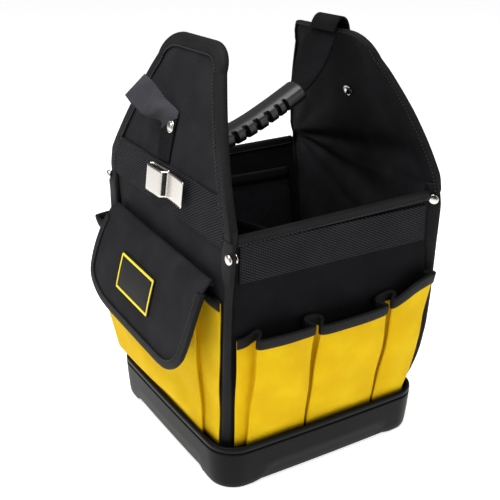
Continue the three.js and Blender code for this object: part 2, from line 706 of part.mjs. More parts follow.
function makeFlap() {
  const hang = FLAP_HANG.slice().reverse();
  const grid = (across) => [
    ...FLAP_ROOT.map(({ z, out, far, near }, i) => {
      const lift = [0, 0.6, 1, 0.6][i] * across;
      const forward = [1, 0.8, 0.2, 0.8][i] * across;
      return span(far, near, 4).map((s) => SIDES.left.place(s, BODY_X_HIGH + out + forward, z + lift));
    }),
    ...hang.map(({ z, far, near }) => span(far, near, 4).map((s) => onFlap(s, z, across))),
  ];
  return sheet(grid(FLAP_THICK / 2), grid(-FLAP_THICK / 2));
}

function makeFlapBinding() {
  const down = FLAP_HANG.slice().reverse().map(({ near, z }) => [near, z]);
  const foot = FLAP_HANG[0];
  const middle = span(foot.near, foot.far, 4).slice(1, -1).map((s) => [s, foot.z]);
  const outline = [...down, ...middle, ...FLAP_HANG.map(({ far, z }) => [far, z])];
  const section = tapeSection(FLAP_THICK / 2 + 0.2, 8, 2).map(([beyond, across]) => [-beyond, across]);
  return edgeTape(outline, section, onFlap);
}
addPiece('left_flap', makeFlap(), 'cloth');
addPiece('left_flap_binding', makeFlapBinding(), 'tape');

// Blank patch on the flap
const PATCH = { from: -42, to: 32, foot: 161, top: 203, thick: 1.6 };

function makePatch() {
  const foot = FLAP_THICK / 2 + GAP;
  const grid = (across) => span(PATCH.foot, PATCH.top, 3).map((z) =>
    span(PATCH.from, PATCH.to, 2).map((s) => onFlap(s, z, across)));
  return sheet(grid(foot + PATCH.thick), grid(foot));
}
addPiece('flap_patch', makePatch(), 'rubber');

// Mesh band across the left panel
const END_BAND_FOOT = 261;
const END_BAND_TOP = 303;
const endBandHalf = (z) => Math.min(panelHalf(Math.max(z, EAR_FOOT)), 120) - 13;
addPiece('end_band_left', makeBand('left', END_BAND_FOOT, END_BAND_TOP, endBandHalf), 'mesh');

// Sprung metal clip on the band: a back plate, a round bend and a tongue that dips and flares.
// Columns: place along the side and distance out from the back of the plate.
const CLIP_Z = 287;
const CLIP_HEIGHT = 25;
const CLIP_METAL = 1;
const CLIP_PATH = [
  { along: 10, out: 0.6 },
  { along: -21, out: 0.6 },
  { along: -24.4, out: 1.8 },
  { along: -26, out: 4.4 },
  { along: -24.4, out: 7 },
  { along: -21, out: 8.2 },
  { along: 12, out: 8.6 },
  { along: 17.4, out: 7.2 },
  { along: 20.6, out: 4.4 },
  { along: 25, out: 4 },
  { along: 39, out: 7.6 },
];

function makeClip() {
  const path = CLIP_PATH.map(({ along, out }) => [along, out]);
  const sidePoint = (i, across) => {
    const [stepAlong, stepOut] = sideStep(path, i);
    return [path[i][0] + stepAlong * across, path[i][1] + stepOut * across];
  };
  const outline = [
    ...CLIP_PATH.map((_, i) => sidePoint(i, CLIP_METAL / 2)),
    ...CLIP_PATH.map((_, i) => sidePoint(i, -CLIP_METAL / 2)).reverse(),
  ];
  const slope = (lean(CLIP_Z + 1, LEAN_LEFT) - lean(CLIP_Z - 1, LEAN_LEFT)) / 2;
  const foot = GAP * 2 + BAND_THICK + 0.3;
  const rings = [-0.5, 0.5].map((level) => outline.map(([along, out]) => {
    const z = CLIP_Z + level * CLIP_HEIGHT;
    const out0 = sideOut('left', along, CLIP_Z) - slope * (z - CLIP_Z) + foot;
    return SIDES.left.place(along, out0 + out, z);
  }));
  return loft(rings, outline);
}
addPiece('tape_clip', makeClip(), 'nickel');

// Strap above the band: a flat sewn length, folded over on a slant into a free tongue that stands out.
// Columns: place along the side and height of the sewn part's two edges.
const STRAP_THICK = 1.6;
const SEWN_NEAR = 3;
const SEWN_FAR = -23.5;
const SEWN_ROWS = [
  { near: 305, far: 305 },
  { near: 320, far: 315 },
  { near: 335, far: 325 },
  { near: 348, far: 333.5 },
];
// Columns: the tongue's upper and lower edge in the bag's frame
const TONGUE_ROWS = [
  { upper: [-102.3, -2.6, 353], lower: [-106.6, 23.5, 338.5] },
  { upper: [-104, 8.6, 358.4], lower: [-113, 23.8, 342.4] },
  { upper: [-104.8, 19, 362.1], lower: [-121, 24.8, 345] },
  { upper: [-105.7, 30.1, 368.8], lower: [-126, 30.5, 348.5] },
  { upper: [-107.2, 41.9, 375], lower: [-128.5, 43.5, 353.8] },
  { upper: [-108.4, 54.9, 379.2], lower: [-129.6, 56.2, 360.3] },
];

function makeSnapStrap() {
  const middle = GAP + STRAP_THICK / 2;
  const rows = SEWN_ROWS.map(({ near, far }) => ({
    upper: onFlat('left', SEWN_NEAR, near, middle),
    lower: onFlat('left', SEWN_FAR, far, middle),
  }));
  for (const { upper, lower } of TONGUE_ROWS) {
    rows.push({ upper: new THREE.Vector3(...upper), lower: new THREE.Vector3(...lower) });
  }
  const centres = rows.map(({ upper, lower }) => upper.clone().lerp(lower, 0.5));
  const side = (face) => rows.map(({ upper, lower }, i) => {
    const run = new THREE.Vector3().subVectors(
      centres[Math.min(rows.length - 1, i + 1)],
      centres[Math.max(0, i - 1)],
    );
    const normal = run.cross(new THREE.Vector3().subVectors(lower, upper)).normalize();
    return [0, 0.5, 1].map((w) =>
      upper.clone().lerp(lower, w).addScaledVector(normal, face * STRAP_THICK / 2));
  });
  return sheet(side(1), side(-1));
}
addPiece('snap_strap', makeSnapStrap(), 'webbing');

// Snap fasteners: a cap on the strap of the left panel, and one on the inner face of the right panel
const SNAP_PROFILE = [[6, 0], [6, 0.8], [4.6, 2], [2, 2.6]];

function makeSnap(side, along, z, offset, inward) {
  const place = onFlat(side, along, z, offset);
  const depth = side === 'left' ? LEAN_LEFT : LEAN_RIGHT;
  const slope = (lean(z + 1, depth) - lean(z - 1, depth)) / 2;
  const axis = SIDES[side].place(0, 1, slope).multiplyScalar(inward).normalize();
  return turned(SNAP_PROFILE, 12, axis, place);
}
addPiece('snap_left', makeSnap('left', -4, 338, 2 * GAP + STRAP_THICK + 0.3, 1), 'nickel');
addPiece('snap_right', makeSnap('right', -2, 353, -PANEL_THICK - 1.2, -1), 'nickel');

// Carrying handle: a moulded grip on webbing, hanging slack between the two end panels.
// Columns: place along X, height, half width of the webbing.
const HANDLE_Y = 9;
const WEB_THICK = 2;
const GRIP_PATH = [
  { x: 41.3, z: 358 },
  { x: 24.3, z: 348.8 },
  { x: 7.4, z: 340 },
  { x: -16.6, z: 328.5 },
  { x: -40.6, z: 319.5 },
  { x: -64, z: 313.5 },
  { x: -83, z: 310.5 },
];
const WEB_RIGHT = [
  { x: 67, z: 421.5, half: 19 },
  { x: 65.8, z: 416, half: 19 },
  { x: 63.6, z: 408.5, half: 19 },
  { x: 60, z: 399, half: 18.5 },
  { x: 55, z: 386, half: 17.5 },
  { x: 48.8, z: 371, half: 15.5 },
  { x: 43.4, z: 361, half: 14 },
];
const WEB_LEFT = [
  { x: -84.8, z: 311.6, half: 14 },
  { x: -90, z: 311.4, half: 15.5 },
  { x: -96, z: 314, half: 17 },
  { x: -99, z: 321, half: 18 },
  { x: -98.8, z: 335, half: 19 },
  { x: -92.2, z: 360, half: 19 },
  { x: -84.2, z: 385, half: 19 },
  { x: -79.6, z: 398, half: 19 },
];
// The anchor is sewn to the outside of the right panel and loops over its top
const ANCHOR_Y = 6;
const WEB_ANCHOR = [
  { x: 94.4, z: 385, half: 16 },
  { x: 88.4, z: 400, half: 16 },
  { x: 83.4, z: 414, half: 16 },
  { x: 81.4, z: 423, half: 16 },
  { x: 78.4, z: 428.6, half: 16 },
  { x: 74, z: 430.6, half: 16 },
  { x: 69, z: 429, half: 16 },
  { x: 64.8, z: 424, half: 16 },
  { x: 62.4, z: 417.5, half: 16 },
  { x: 60.8, z: 411.5, half: 16 },
];

function makeWebbing(rows, y) {
  const path = rows.map(({ x, z }) => [x, z]);
  const side = (face) => rows.map(({ x, z, half }, i) => {
    const [nx, nz] = sideStep(path, i);
    return span(-half, half, 2).map((w) =>
      new THREE.Vector3(x + face * nx * WEB_THICK / 2, y + w, z + face * nz * WEB_THICK / 2));
  });
  return sheet(side(1), side(-1));
}
addPiece('handle_webbing_right', makeWebbing(WEB_RIGHT, HANDLE_Y), 'webbing');
addPiece('handle_webbing_left', makeWebbing(WEB_LEFT, HANDLE_Y), 'webbing');
addPiece('handle_anchor_right', makeWebbing(WEB_ANCHOR, ANCHOR_Y), 'webbing');

// Grip: an oval bar with cross ribs under it between two plain ends
const GRIP_WIDTH = 31;
const GRIP_HEIGHT = 19;
const GRIP_SECTION_STEPS = 12;
const RIB_COUNT = 8;
const RIB_DEPTH = 2.6;
const RIB_FROM = 0.13;
const RIB_TO = 0.87;

function makeGrip() {
  const curve = new THREE.CatmullRomCurve3(GRIP_PATH.map(({ x, z }) => new THREE.Vector3(x, HANDLE_Y, z)));
  const stations = [
    { t: 0, size: 0.86, groove: 0 },
    { t: 0.02, size: 1, groove: 0 },
    { t: RIB_FROM - 0.03, size: 1, groove: 0 },
  ];
  const pitch = (RIB_TO - RIB_FROM) / RIB_COUNT;
  for (let i = 0; i < RIB_COUNT; i += 1) {
    const start = RIB_FROM + i * pitch;
    stations.push({ t: start, size: 1, groove: 0 }, { t: start + pitch * 0.12, size: 1, groove: 1 });
    stations.push({ t: start + pitch * 0.45, size: 1, groove: 1 }, { t: start + pitch * 0.57, size: 1, groove: 0 });
  }
  stations.push({ t: RIB_TO + 0.03, size: 1, groove: 0 });
  stations.push({ t: 0.98, size: 1, groove: 0 }, { t: 1, size: 0.86, groove: 0 });
  const angles = span(0, Math.PI * 2, GRIP_SECTION_STEPS).slice(0, GRIP_SECTION_STEPS);
  const rings = stations.map(({ t, size, groove }) => {
    const centre = curve.getPointAt(t);
    const run = curve.getTangentAt(t);
    const up = new THREE.Vector3(-run.z, 0, run.x).multiplyScalar(run.x > 0 ? 1 : -1);
    return angles.map((angle) => {
      const below = clamp01(-Math.sin(angle) * 1.6);
      const across = Math.cos(angle) * (GRIP_WIDTH / 2) * size;
      const high = Math.sin(angle) * (GRIP_HEIGHT / 2) * size + groove * RIB_DEPTH * below;
      return new THREE.Vector3(0, across, 0).add(centre).addScaledVector(up, high);
    });
  });
  return loft(rings, angles.map((angle) => [Math.cos(angle), Math.sin(angle)]));
}
addPiece('handle_grip', makeGrip(), 'rubber');

// Cloth dividers inside: a long one from wall to wall with a soft bend, and a cross one to the left
const DIVIDER_TOP = 215;
const DIVIDER_THICK = 2.4;
const dividerX = (y) => 3 - 30 * Math.tanh(y / 90);

function makeLongDivider() {
  const grid = (face) => [WALL_FOOT, TRAY_RIM, 120, DIVIDER_TOP].map((z) => {
    const front = -(bodyY(z) - WALL_THICK - 1);
    const rear = bodyY(z) - WALL_THICK - 10;
    return span(front, rear, 8).map((y) => new THREE.Vector3(dividerX(y) + face * DIVIDER_THICK / 2, y, z));
  });
  return sheet(grid(1), grid(-1));
}

function makeCrossDivider() {
  const right = dividerX(0) - DIVIDER_THICK / 2 - 0.6;
  const left = -(BODY_X_LOW - PANEL_THICK - 0.8);
  const box = new THREE.BoxGeometry(right - left, DIVIDER_THICK, DIVIDER_TOP - WALL_FOOT);
  box.translate((left + right) / 2, 0, (DIVIDER_TOP + WALL_FOOT) / 2);
  return fromManifold(toManifold(box));
}
addPiece('divider_long', makeLongDivider(), 'lining');
addPiece('divider_cross', makeCrossDivider(), 'lining');

// Open pocket on the inside of the rear wall, with tape over its top edge
const INNER_FOOT = 30;
const INNER_TOP = 238;
const INNER_HALF = 98;
const INNER_THICK = 1.2;
const innerOffset = (z) => mix(-WALL_THICK - 1.6, -WALL_THICK - 5.6, clamp01((z - INNER_FOOT) / (INNER_TOP - INNER_FOOT)));

function makeInnerPocket() {
  const half = (z) => Math.min(INNER_HALF, bodyX(z) - bodyCorner(z) - 3);
  const grid = (across) => span(INNER_FOOT, INNER_TOP, 4).map((z) =>
    span(-half(z), half(z), 4).map((s) => onFlat('rear', s, z, innerOffset(z) + across)));
  return sheet(grid(INNER_THICK / 2), grid(-INNER_THICK / 2));
}

function makeInnerBinding() {
  const outline = span(INNER_HALF, -INNER_HALF, 4).map((s) => [s, INNER_TOP]);
  const section = tapeSection(INNER_THICK / 2, 11, 2);
  return edgeTape(outline, section, (s, z, across) => onFlat('rear', s, z, innerOffset(z) + across));
}
addPiece('inner_pocket_rear', makeInnerPocket(), 'mesh');
addPiece('inner_pocket_rear_binding', makeInnerBinding(), 'tape');

export default bag;
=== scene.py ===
import math
from functools import partial

import bmesh
import bpy
import numpy as np
from mathutils import Matrix, Vector


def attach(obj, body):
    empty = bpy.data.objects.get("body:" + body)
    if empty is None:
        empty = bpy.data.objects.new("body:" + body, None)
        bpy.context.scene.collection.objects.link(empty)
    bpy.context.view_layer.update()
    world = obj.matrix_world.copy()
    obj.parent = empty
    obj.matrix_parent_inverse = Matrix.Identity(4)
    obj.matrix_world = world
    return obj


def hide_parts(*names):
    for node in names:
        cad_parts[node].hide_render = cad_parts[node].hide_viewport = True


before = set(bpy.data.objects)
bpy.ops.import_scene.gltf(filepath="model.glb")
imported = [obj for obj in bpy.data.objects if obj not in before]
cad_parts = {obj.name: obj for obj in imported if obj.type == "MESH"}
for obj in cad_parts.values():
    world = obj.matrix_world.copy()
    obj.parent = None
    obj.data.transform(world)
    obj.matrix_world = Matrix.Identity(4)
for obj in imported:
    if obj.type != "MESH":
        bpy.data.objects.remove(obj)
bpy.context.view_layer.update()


# Camera: it stands off the bag's left front corner and looks down on it a little. Its place, turn and
# focal length make the bag's corners fall where a square picture of 500 pixels shows them.
CAMERA_PLACE = Vector((-0.45697, -0.70712, 0.53816))
CAMERA_AZIMUTH = math.radians(-31.697)
CAMERA_ELEVATION = math.radians(22.412)
CAMERA_ROLL = math.radians(0.582)
IMAGE_SIZE = 500
FOCAL_PIXELS = 853.05
SENSOR_MM = 36.0

back = Vector((
    math.sin(CAMERA_AZIMUTH) * math.cos(CAMERA_ELEVATION),
    -math.cos(CAMERA_AZIMUTH) * math.cos(CAMERA_ELEVATION),
    math.sin(CAMERA_ELEVATION),
))
level = Vector((math.cos(CAMERA_AZIMUTH), math.sin(CAMERA_AZIMUTH), 0))
upright = back.cross(level)
right = math.cos(CAMERA_ROLL) * level + math.sin(CAMERA_ROLL) * upright
up = -math.sin(CAMERA_ROLL) * level + math.cos(CAMERA_ROLL) * upright
camera = bpy.data.objects.new("camera", bpy.data.cameras.new("camera"))
camera.data.sensor_width = SENSOR_MM
camera.data.lens = FOCAL_PIXELS / IMAGE_SIZE * SENSOR_MM
camera.data.clip_end = 50
camera.matrix_world = Matrix.Translation(CAMERA_PLACE) @ Matrix((right, up, back)).transposed().to_4x4()
bpy.context.scene.collection.objects.link(camera)
bpy.context.scene.camera = camera


# Table and lamps: a white paper table that runs out of sight, a large soft lamp above the bag and two
# weaker ones in front of it and at its left. A black flag gives the polished pieces a dark side.
WHITE = (1, 1, 1, 1)
WORLD_STRENGTH, PAPER_GLOW = 0.26, 0.72
# Columns: name, place, point it faces, width, height, watts
LAMPS = [
    ("lamp_above", (-0.5, -0.05, 1.6), (0, 0, 0.25), 1.3, 1.1, 31),
    ("lamp_front", (0.5, -1.7, 0.9), (0, 0, 0.2), 1.2, 1.2, 6.6),
    ("lamp_left", (-1.6, 0.1, 0.8), (0, 0, 0.25), 1.0, 1.0, 3),
]
TABLE_CORNERS = [(-8, -8, 0), (8, -8, 0), (8, 8, 0), (-8, 8, 0)]
FLAG_CORNERS = [
    (-1.5, -0.45, 0.01), (-0.2, -1.3, 0.01), (-0.2, -1.3, 1.1), (-1.5, -0.45, 1.1), (-0.75, -0.2, 0.005),
    (0.1, -0.75, 0.005),
]


def to_linear(colour):
    """sRGB hex colour as linear RGBA."""
    parts = [int(colour[i:i + 2], 16) / 255 for i in (1, 3, 5)]
    return [c / 12.92 if c <= 0.04045 else ((c + 0.055) / 1.055) ** 2.4 for c in parts] + [1.0]


def add(tree, kind, inputs=None, **settings):
    """Adds a node with its settings, and its inputs as values or links."""
    node = tree.nodes.new(kind)
    for key, value in settings.items():
        setattr(node, key, value)
    for key, value in (inputs or {}).items():
        if isinstance(value, bpy.types.NodeSocket):
            tree.links.new(value, node.inputs[key])
        else:
            node.inputs[key].default_value = value
    return node


def make_finish(name, inputs):
    """A material with these values on its shader's own sockets."""
    material = bpy.data.materials.new(name)
    material.use_nodes = True
    for key, value in inputs.items():
        material.node_tree.nodes["Principled BSDF"].inputs[key].default_value = value
    return material


def set_on_stage(name, points, faces, material):
    """Adds a thing that belongs to the studio and not to the bag."""
    mesh = bpy.data.meshes.new(name)
    mesh.from_pydata(points, [], faces)
    mesh.materials.append(material)
    prop = bpy.data.objects.new(name, mesh)
    bpy.context.scene.collection.objects.link(prop)
    return prop


world = bpy.data.worlds.new("studio")
world.use_nodes = True
world.node_tree.nodes["Background"].inputs["Color"].default_value = WHITE
world.node_tree.nodes["Background"].inputs["Strength"].default_value = WORLD_STRENGTH
bpy.context.scene.world = world
bpy.context.scene.view_settings.view_transform = "Standard"

for name, place, target, width, height, watts in LAMPS:
    lamp = bpy.data.lights.new(name, "AREA")
    lamp.shape = "RECTANGLE"
    lamp.size, lamp.size_y = width, height
    lamp.energy = watts
    holder = bpy.data.objects.new(name, lamp)
    holder.location = place
    holder.rotation_euler = (Vector(target) - Vector(place)).to_track_quat("-Z", "Y").to_euler()
    bpy.context.scene.collection.objects.link(holder)

# White paper: matt, lit enough from below to print as clean white
white_paper = make_finish("white_paper", {
    "Base Color": to_linear("#F4F4F4"), "Roughness": 0.9, "Emission Color": WHITE,
    "Emission Strength": PAPER_GLOW,
})
set_on_stage("table", TABLE_CORNERS, [(0, 1, 2, 3)], white_paper)

# Flag cloth: black; it stands near the camera and is met by mirror reflections alone
flag_cloth = make_finish("black_flag_cloth", {"Base Color": to_linear("#000000"), "Specular IOR Level": 0.0})
flag = set_on_stage("flag", FLAG_CORNERS, [(0, 1, 2, 3), (0, 1, 5, 4)], flag_cloth)
flag.visible_camera = flag.visible_diffuse = flag.visible_shadow = flag.visible_transmission = False


# Base tray: one moulding of black ABS that the cloth stands in. It has a rolled lip over a thin
# groove, and its side edges are raised between four corner feet.
MM = 0.001
TRAY_X, TRAY_Y, TRAY_CORNER, TRAY_RIM = 125.0, 122.5, 30.5, 49.5
TRAY_BOW, LEAST_CORNER = 1.0, 4.0
FOOT_RISE, FOOT_LENGTH, FOOT_SLOPE, FOOT_INSET = 8.8, 42.0, 8.0, 7.0
# Columns: inset from the outer size, height
TRAY_PROFILE = [
    (12, 0), (8, 0), (5.6, 0.4), (4.2, 1.6), (3.2, 4), (2.4, 9), (1.1, 24), (0.1, 40), (0, 41.7),
    (0.5, 42.1), (1.5, 42.4), (1.6, 43), (1.5, 43.6), (0.5, 43.9), (0, 44.3), (0, 47.6), (0.4, 48.7),
    (1.3, 49.4), (2.2, 49.5), (3.3, 49.3), (3.9, 48.7), (4, 47.5), (4, 8), (6, 5), (12, 5),
]


def smooth_step(t):
    """Rise from 0 to 1 without a corner at either end."""
    t = np.clip(t, 0, 1)
    return t * t * (3 - 2 * t)


# How far the right side bulges out at these heights, and the places along X between which that sets in
BULGE_HEIGHTS = (51, 60, 70, 82, 95, 120, 160, 200, 225, 245, 270)
BULGE_OUTS = (0, 4, 9, 12.5, 14.5, 15.5, 13, 8.6, 5.2, 2.4, 0)
BULGE_FROM, BULGE_FULL = 45.0, 110.0


def bulge_out(points):
    """Pushes the right side out between the tray and the wall tops, with all that is sewn to it."""
    points = np.array(points, float)
    out = np.interp(points[:, 2], BULGE_HEIGHTS, BULGE_OUTS)
    points[:, 0] += out * np.clip((points[:, 0] - BULGE_FROM) / (BULGE_FULL - BULGE_FROM), 0, 1)
    return points


def put_piece(name, shape, material, stands_for=()):
    """Adds a mesh of points in millimetres, faces and places on the cloth as a piece of the bag."""
    points, faces, lay = shape
    mesh = bpy.data.meshes.new(name)
    mesh.from_pydata((bulge_out(points) * MM).tolist(), [], faces)
    layer = mesh.attributes.new("lay", "FLOAT_VECTOR", "POINT")
    layer.data.foreach_set("vector", (np.asarray(lay) * MM).astype(np.float32).ravel())
    solid = bmesh.new()
    solid.from_mesh(mesh)
    bmesh.ops.recalc_face_normals(solid, faces=solid.faces)
    solid.to_mesh(mesh)
    solid.free()
    mesh.shade_smooth()
    mesh.materials.append(material)
    piece = bpy.data.objects.new(name, mesh)
    bpy.context.scene.collection.objects.link(piece)
    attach(piece, "root")
    if stands_for:
        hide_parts(*stands_for)
    return piece


def run_along(path):
    """Distance of each point of a path from its start, along it."""
    return np.concatenate([[0], np.cumsum(np.linalg.norm(np.diff(path, axis=0), axis=1))])


def tube(rings):
    """Closed tube through rings of points, with its length and girth as places."""
    rings = np.asarray(rings, float)
    rows, count = rings.shape[:2]
    index = np.arange(rows * count).reshape(rows, count)
    ahead = np.roll(index, -1, axis=1)
    faces = np.stack([index[:-1], ahead[:-1], ahead[1:], index[1:]], -1).reshape(-1, 4).tolist()
    faces += [index[0].tolist(), index[-1].tolist()]
    run = run_along(rings.mean(1))
    girth = np.linalg.norm(np.diff(rings, axis=1), axis=2)
    girth = np.concatenate([np.zeros((rows, 1)), np.cumsum(girth, axis=1)], 1)
    lay = np.stack([np.broadcast_to(run[:, None], girth.shape), girth, 0 * girth], -1)
    return rings.reshape(-1, 3), faces, lay.reshape(-1, 3)


def rounded_ring(half_x, half_y, radius, bow, corner_steps=13, side_steps=26):
    """Rectangle in a plane with round corners and sides that bow outwards."""
    turns = np.linspace(0, math.pi / 2, corner_steps)
    corners = []
    for quarter, (sx, sy) in enumerate([(1, 1), (-1, 1), (-1, -1), (1, -1)]):
        angle = quarter * math.pi / 2 + turns
        x = sx * (half_x - radius) + radius * np.cos(angle)
        y = sy * (half_y - radius) + radius * np.sin(angle)
        corners.append(np.stack([x, y], -1))
    ring = []
    for quarter, corner in enumerate(corners):
        start, end = corner[-1], corners[(quarter + 1) % 4][0]
        turn = (quarter + 1) * math.pi / 2
        outward = np.array([math.cos(turn), math.sin(turn)])
        u = np.linspace(0, 1, side_steps)[1:-1, None]
        ring += [corner, start + (end - start) * u + outward * bow * 4 * u * (1 - u)]
    return np.concatenate(ring)


def tray_ring(inset, z):
    """Outline of the tray at one row of its profile, lifted between the feet."""
    ring = rounded_ring(TRAY_X - inset, TRAY_Y - inset, max(TRAY_CORNER - inset, LEAST_CORNER), TRAY_BOW)
    past_foot = np.maximum(TRAY_X - np.abs(ring[:, 0]), TRAY_Y - np.abs(ring[:, 1])) - FOOT_LENGTH
    lift = FOOT_RISE * smooth_step(past_foot / FOOT_SLOPE) * (inset < FOOT_INSET)
    return np.column_stack([ring, np.maximum(z, lift)])


# Moulded ABS: satin black with a very fine spark-eroded grain, so highlights are wide and soft.
# The real grain is near 0.2 mm; it is drawn coarser to show.
GRAIN_MM = 0.9
abs_plastic = make_finish("moulded_abs", {
    "Base Color": to_linear("#0D0D0F"), "Roughness": 0.42, "Specular IOR Level": 0.08,
})
tree = abs_plastic.node_tree
place = add(tree, "ShaderNodeTexCoord")
grain = add(tree, "ShaderNodeTexNoise", {"Vector": place.outputs["Object"], "Scale": 1 / (GRAIN_MM * MM)})
bump = add(tree, "ShaderNodeBump", {"Height": grain.outputs["Fac"], "Strength": 0.12, "Distance": 0.0002})
tree.links.new(bump.outputs["Normal"], tree.nodes["Principled BSDF"].inputs["Normal"])

tray_rings = [tray_ring(inset, z) for inset, z in TRAY_PROFILE]
put_piece("tray", tube(tray_rings), abs_plastic, ["base_tray"])


# Front and rear walls: black woven polyester over thin foam, sewn to the end panels at the round
# corners and seen from both sides.
BODY_X, BODY_Y, BODY_CORNER = (114.0, 117.0), (109.0, 122.0), (16.0, 8.0)
WALL_FOOT, WALL_TOP, WALL_TILT, WALL_THICK = 8.0, 270.0, 3.0, 3.0
SEAM, WALL_SAG, WALL_SAG_SIZE = 0.6, 0.8, 150.0


def body_size(sizes, z):
    """A size of the body between its value at the tray and at the top of the walls."""
    return sizes[0] + (sizes[1] - sizes[0]) * np.clip((z - TRAY_RIM) / (WALL_TOP - TRAY_RIM), 0, 1)


def side_out(side, along, z):
    """Distance of a side's outer face from the middle of the bag."""
    if side == "left":
        return body_size(BODY_X, z) - lean(z, *LEAN_LEFT) + 0 * along
    if side == "right":
        return body_size(BODY_X, z) - lean(z, *LEAN_RIGHT) + right_warp(along, z)
    return body_size(BODY_Y, z) + 0 * along


def side_half(side, z):
    """Half the length of a side, as if its corners were square."""
    return body_size(BODY_Y if side in ("left", "right") else BODY_X, z)


def side_end(side, z):
    """Length of a side from its middle to the seam in the round corner."""
    return side_half(side, z) - body_size(BODY_CORNER, z) * (1 - math.pi / 4)


def to_bag(side, along, out, z):
    """Place on a side, seen from outside with along to the right, as a point of the bag."""
    along, out, z = np.broadcast_arrays(along, out, z)
    ways = {"front": (along, -out), "rear": (-along, out), "left": (-out, -along), "right": (out, along)}
    x, y = ways[side]
    return np.stack([x, y, z], -1).astype(float)


def on_side(side, s, z, offset):
    """Point on a side that follows the round corners."""
    radius = body_size(BODY_CORNER, z)
    straight = side_half(side, z) - radius
    angle = np.maximum(0, (np.abs(s) - straight) / radius)
    along = np.sign(s) * (np.minimum(np.abs(s), straight) + (radius + offset) * np.sin(angle))
    out = side_out(side, along, z) - radius + (radius + offset) * np.cos(angle)
    return to_bag(side, along, out, z)


def on_flat(side, s, z, offset):
    """Point on a side that runs straight past its corners."""
    return to_bag(side, s, side_out(side, s, z) + offset, z)


def sheet_mesh(front, rear, s, z):
    """Closed cloth between two grids of points; s and z are the places on the cloth for its weave."""
    rows, cols = front.shape[:2]
    count = rows * cols
    index = np.arange(count).reshape(rows, cols)
    quads = np.stack([index[:-1, :-1], index[:-1, 1:], index[1:, 1:], index[1:, :-1]], -1).reshape(-1, 4)
    rim = np.concatenate([index[0], index[1:, -1], index[-1, -2::-1], index[-2:0:-1, 0]])
    after = np.roll(rim, -1)
    edge = np.stack([after, rim, rim + count, after + count], -1)
    faces = np.concatenate([quads, quads[:, ::-1] + count, edge]).tolist()
    s, z = np.broadcast_to(s, (rows, cols)), np.broadcast_to(z, (rows, cols))
    lay = np.stack([s, z, 0 * z], -1).reshape(-1, 3)
    return np.concatenate([front.reshape(-1, 3), rear.reshape(-1, 3)]), faces, np.concatenate([lay, lay])


def waves(a, b, seed, size, count=7):
    """Smooth random hills, about 1 mm high and size millimetres across."""
    draw = np.random.RandomState(seed)
    total = 0
    for _ in range(count):
        turn, phase = draw.uniform(0, 2 * np.pi, 2)
        length = size * draw.uniform(0.6, 1.6)
        total = total + np.sin((a * np.cos(turn) + b * np.sin(turn)) * 2 * np.pi / length + phase)
    return total / math.sqrt(count)


# A wave texture of scale 1 repeats every 0.314 m. The uneven shades are patches about 33 mm across.
WAVE_LENGTH, SHADE_SCALE = 0.314, 30.0


def woven(name, thread, gap, warp_mm, weft_mm, depth_mm, rough, gloss, uneven=0.25, slant=0):
    """Woven cloth or tape: threads that cross over a darker ground, with soft uneven shades."""
    material = make_finish(name, {"Roughness": rough, "Specular IOR Level": gloss})
    tree = material.node_tree
    lay = add(tree, "ShaderNodeAttribute", attribute_name="lay").outputs["Vector"]
    warp_turn, weft_turn = (math.radians(90 - slant), math.radians(slant)) if slant else (0, 0)
    bands = []
    for way, turn, spacing in (("X", warp_turn, warp_mm), ("Y", weft_turn, weft_mm)):
        laid = add(tree, "ShaderNodeVectorRotate", {"Vector": lay, "Angle": turn}, rotation_type="Z_AXIS")
        band = add(tree, "ShaderNodeTexWave", {
            "Vector": laid.outputs[0], "Scale": WAVE_LENGTH / (spacing * MM),
        }, bands_direction=way)
        bands.append(band.outputs["Fac"])
    threads = add(tree, "ShaderNodeMath", {0: bands[0], 1: bands[1]}, operation="MULTIPLY")
    patches = add(tree, "ShaderNodeTexNoise", {"Vector": lay, "Scale": SHADE_SCALE, "Detail": 3.0})
    shades = add(tree, "ShaderNodeMapRange", {
        "Value": patches.outputs["Fac"], "From Min": 0.3, "From Max": 0.7, "To Min": -uneven,
        "To Max": uneven,
    })
    mixed = add(tree, "ShaderNodeMath", {
        0: threads.outputs[0], 1: shades.outputs[0],
    }, operation="ADD", use_clamp=True)
    colour = add(tree, "ShaderNodeMix", {
        "Factor": mixed.outputs[0], "A": to_linear(gap), "B": to_linear(thread),
    }, data_type="RGBA")
    bump = add(tree, "ShaderNodeBump", {
        "Height": threads.outputs[0], "Strength": 0.6, "Distance": depth_mm * MM,
    })
    shader = tree.nodes["Principled BSDF"]
    tree.links.new(colour.outputs["Result"], shader.inputs["Base Color"])
    tree.links.new(bump.outputs["Normal"], shader.inputs["Normal"])
    return material


# Black polyester: matt, with a faint grey bloom where the threads catch the light. The real threads
# are 0.5 mm apart; drawn at 1.1 mm to show.
black_polyester = woven("black_woven_polyester", thread="#2C2C2F", gap="#141416",
                        warp_mm=1.1, weft_mm=1.1, depth_mm=0.25, rough=0.8, gloss=0.1)

# Wall cloth: the same weave in darker, flatter colours; the darkness is painted shade for the front and rear
# walls, which catch less of the light than the end panels
shaded_wall_polyester = woven("shaded_woven_polyester", thread="#1C1C1F", gap="#0C0C0E",
                       warp_mm=1.1, weft_mm=1.1, depth_mm=0.25, rough=0.85, gloss=0.08)


def wall_top(side, s):
    """Height of a wall's top edge, which falls to the left."""
    return WALL_TOP + WALL_TILT * (s if side == "front" else -s) / BODY_X[1]


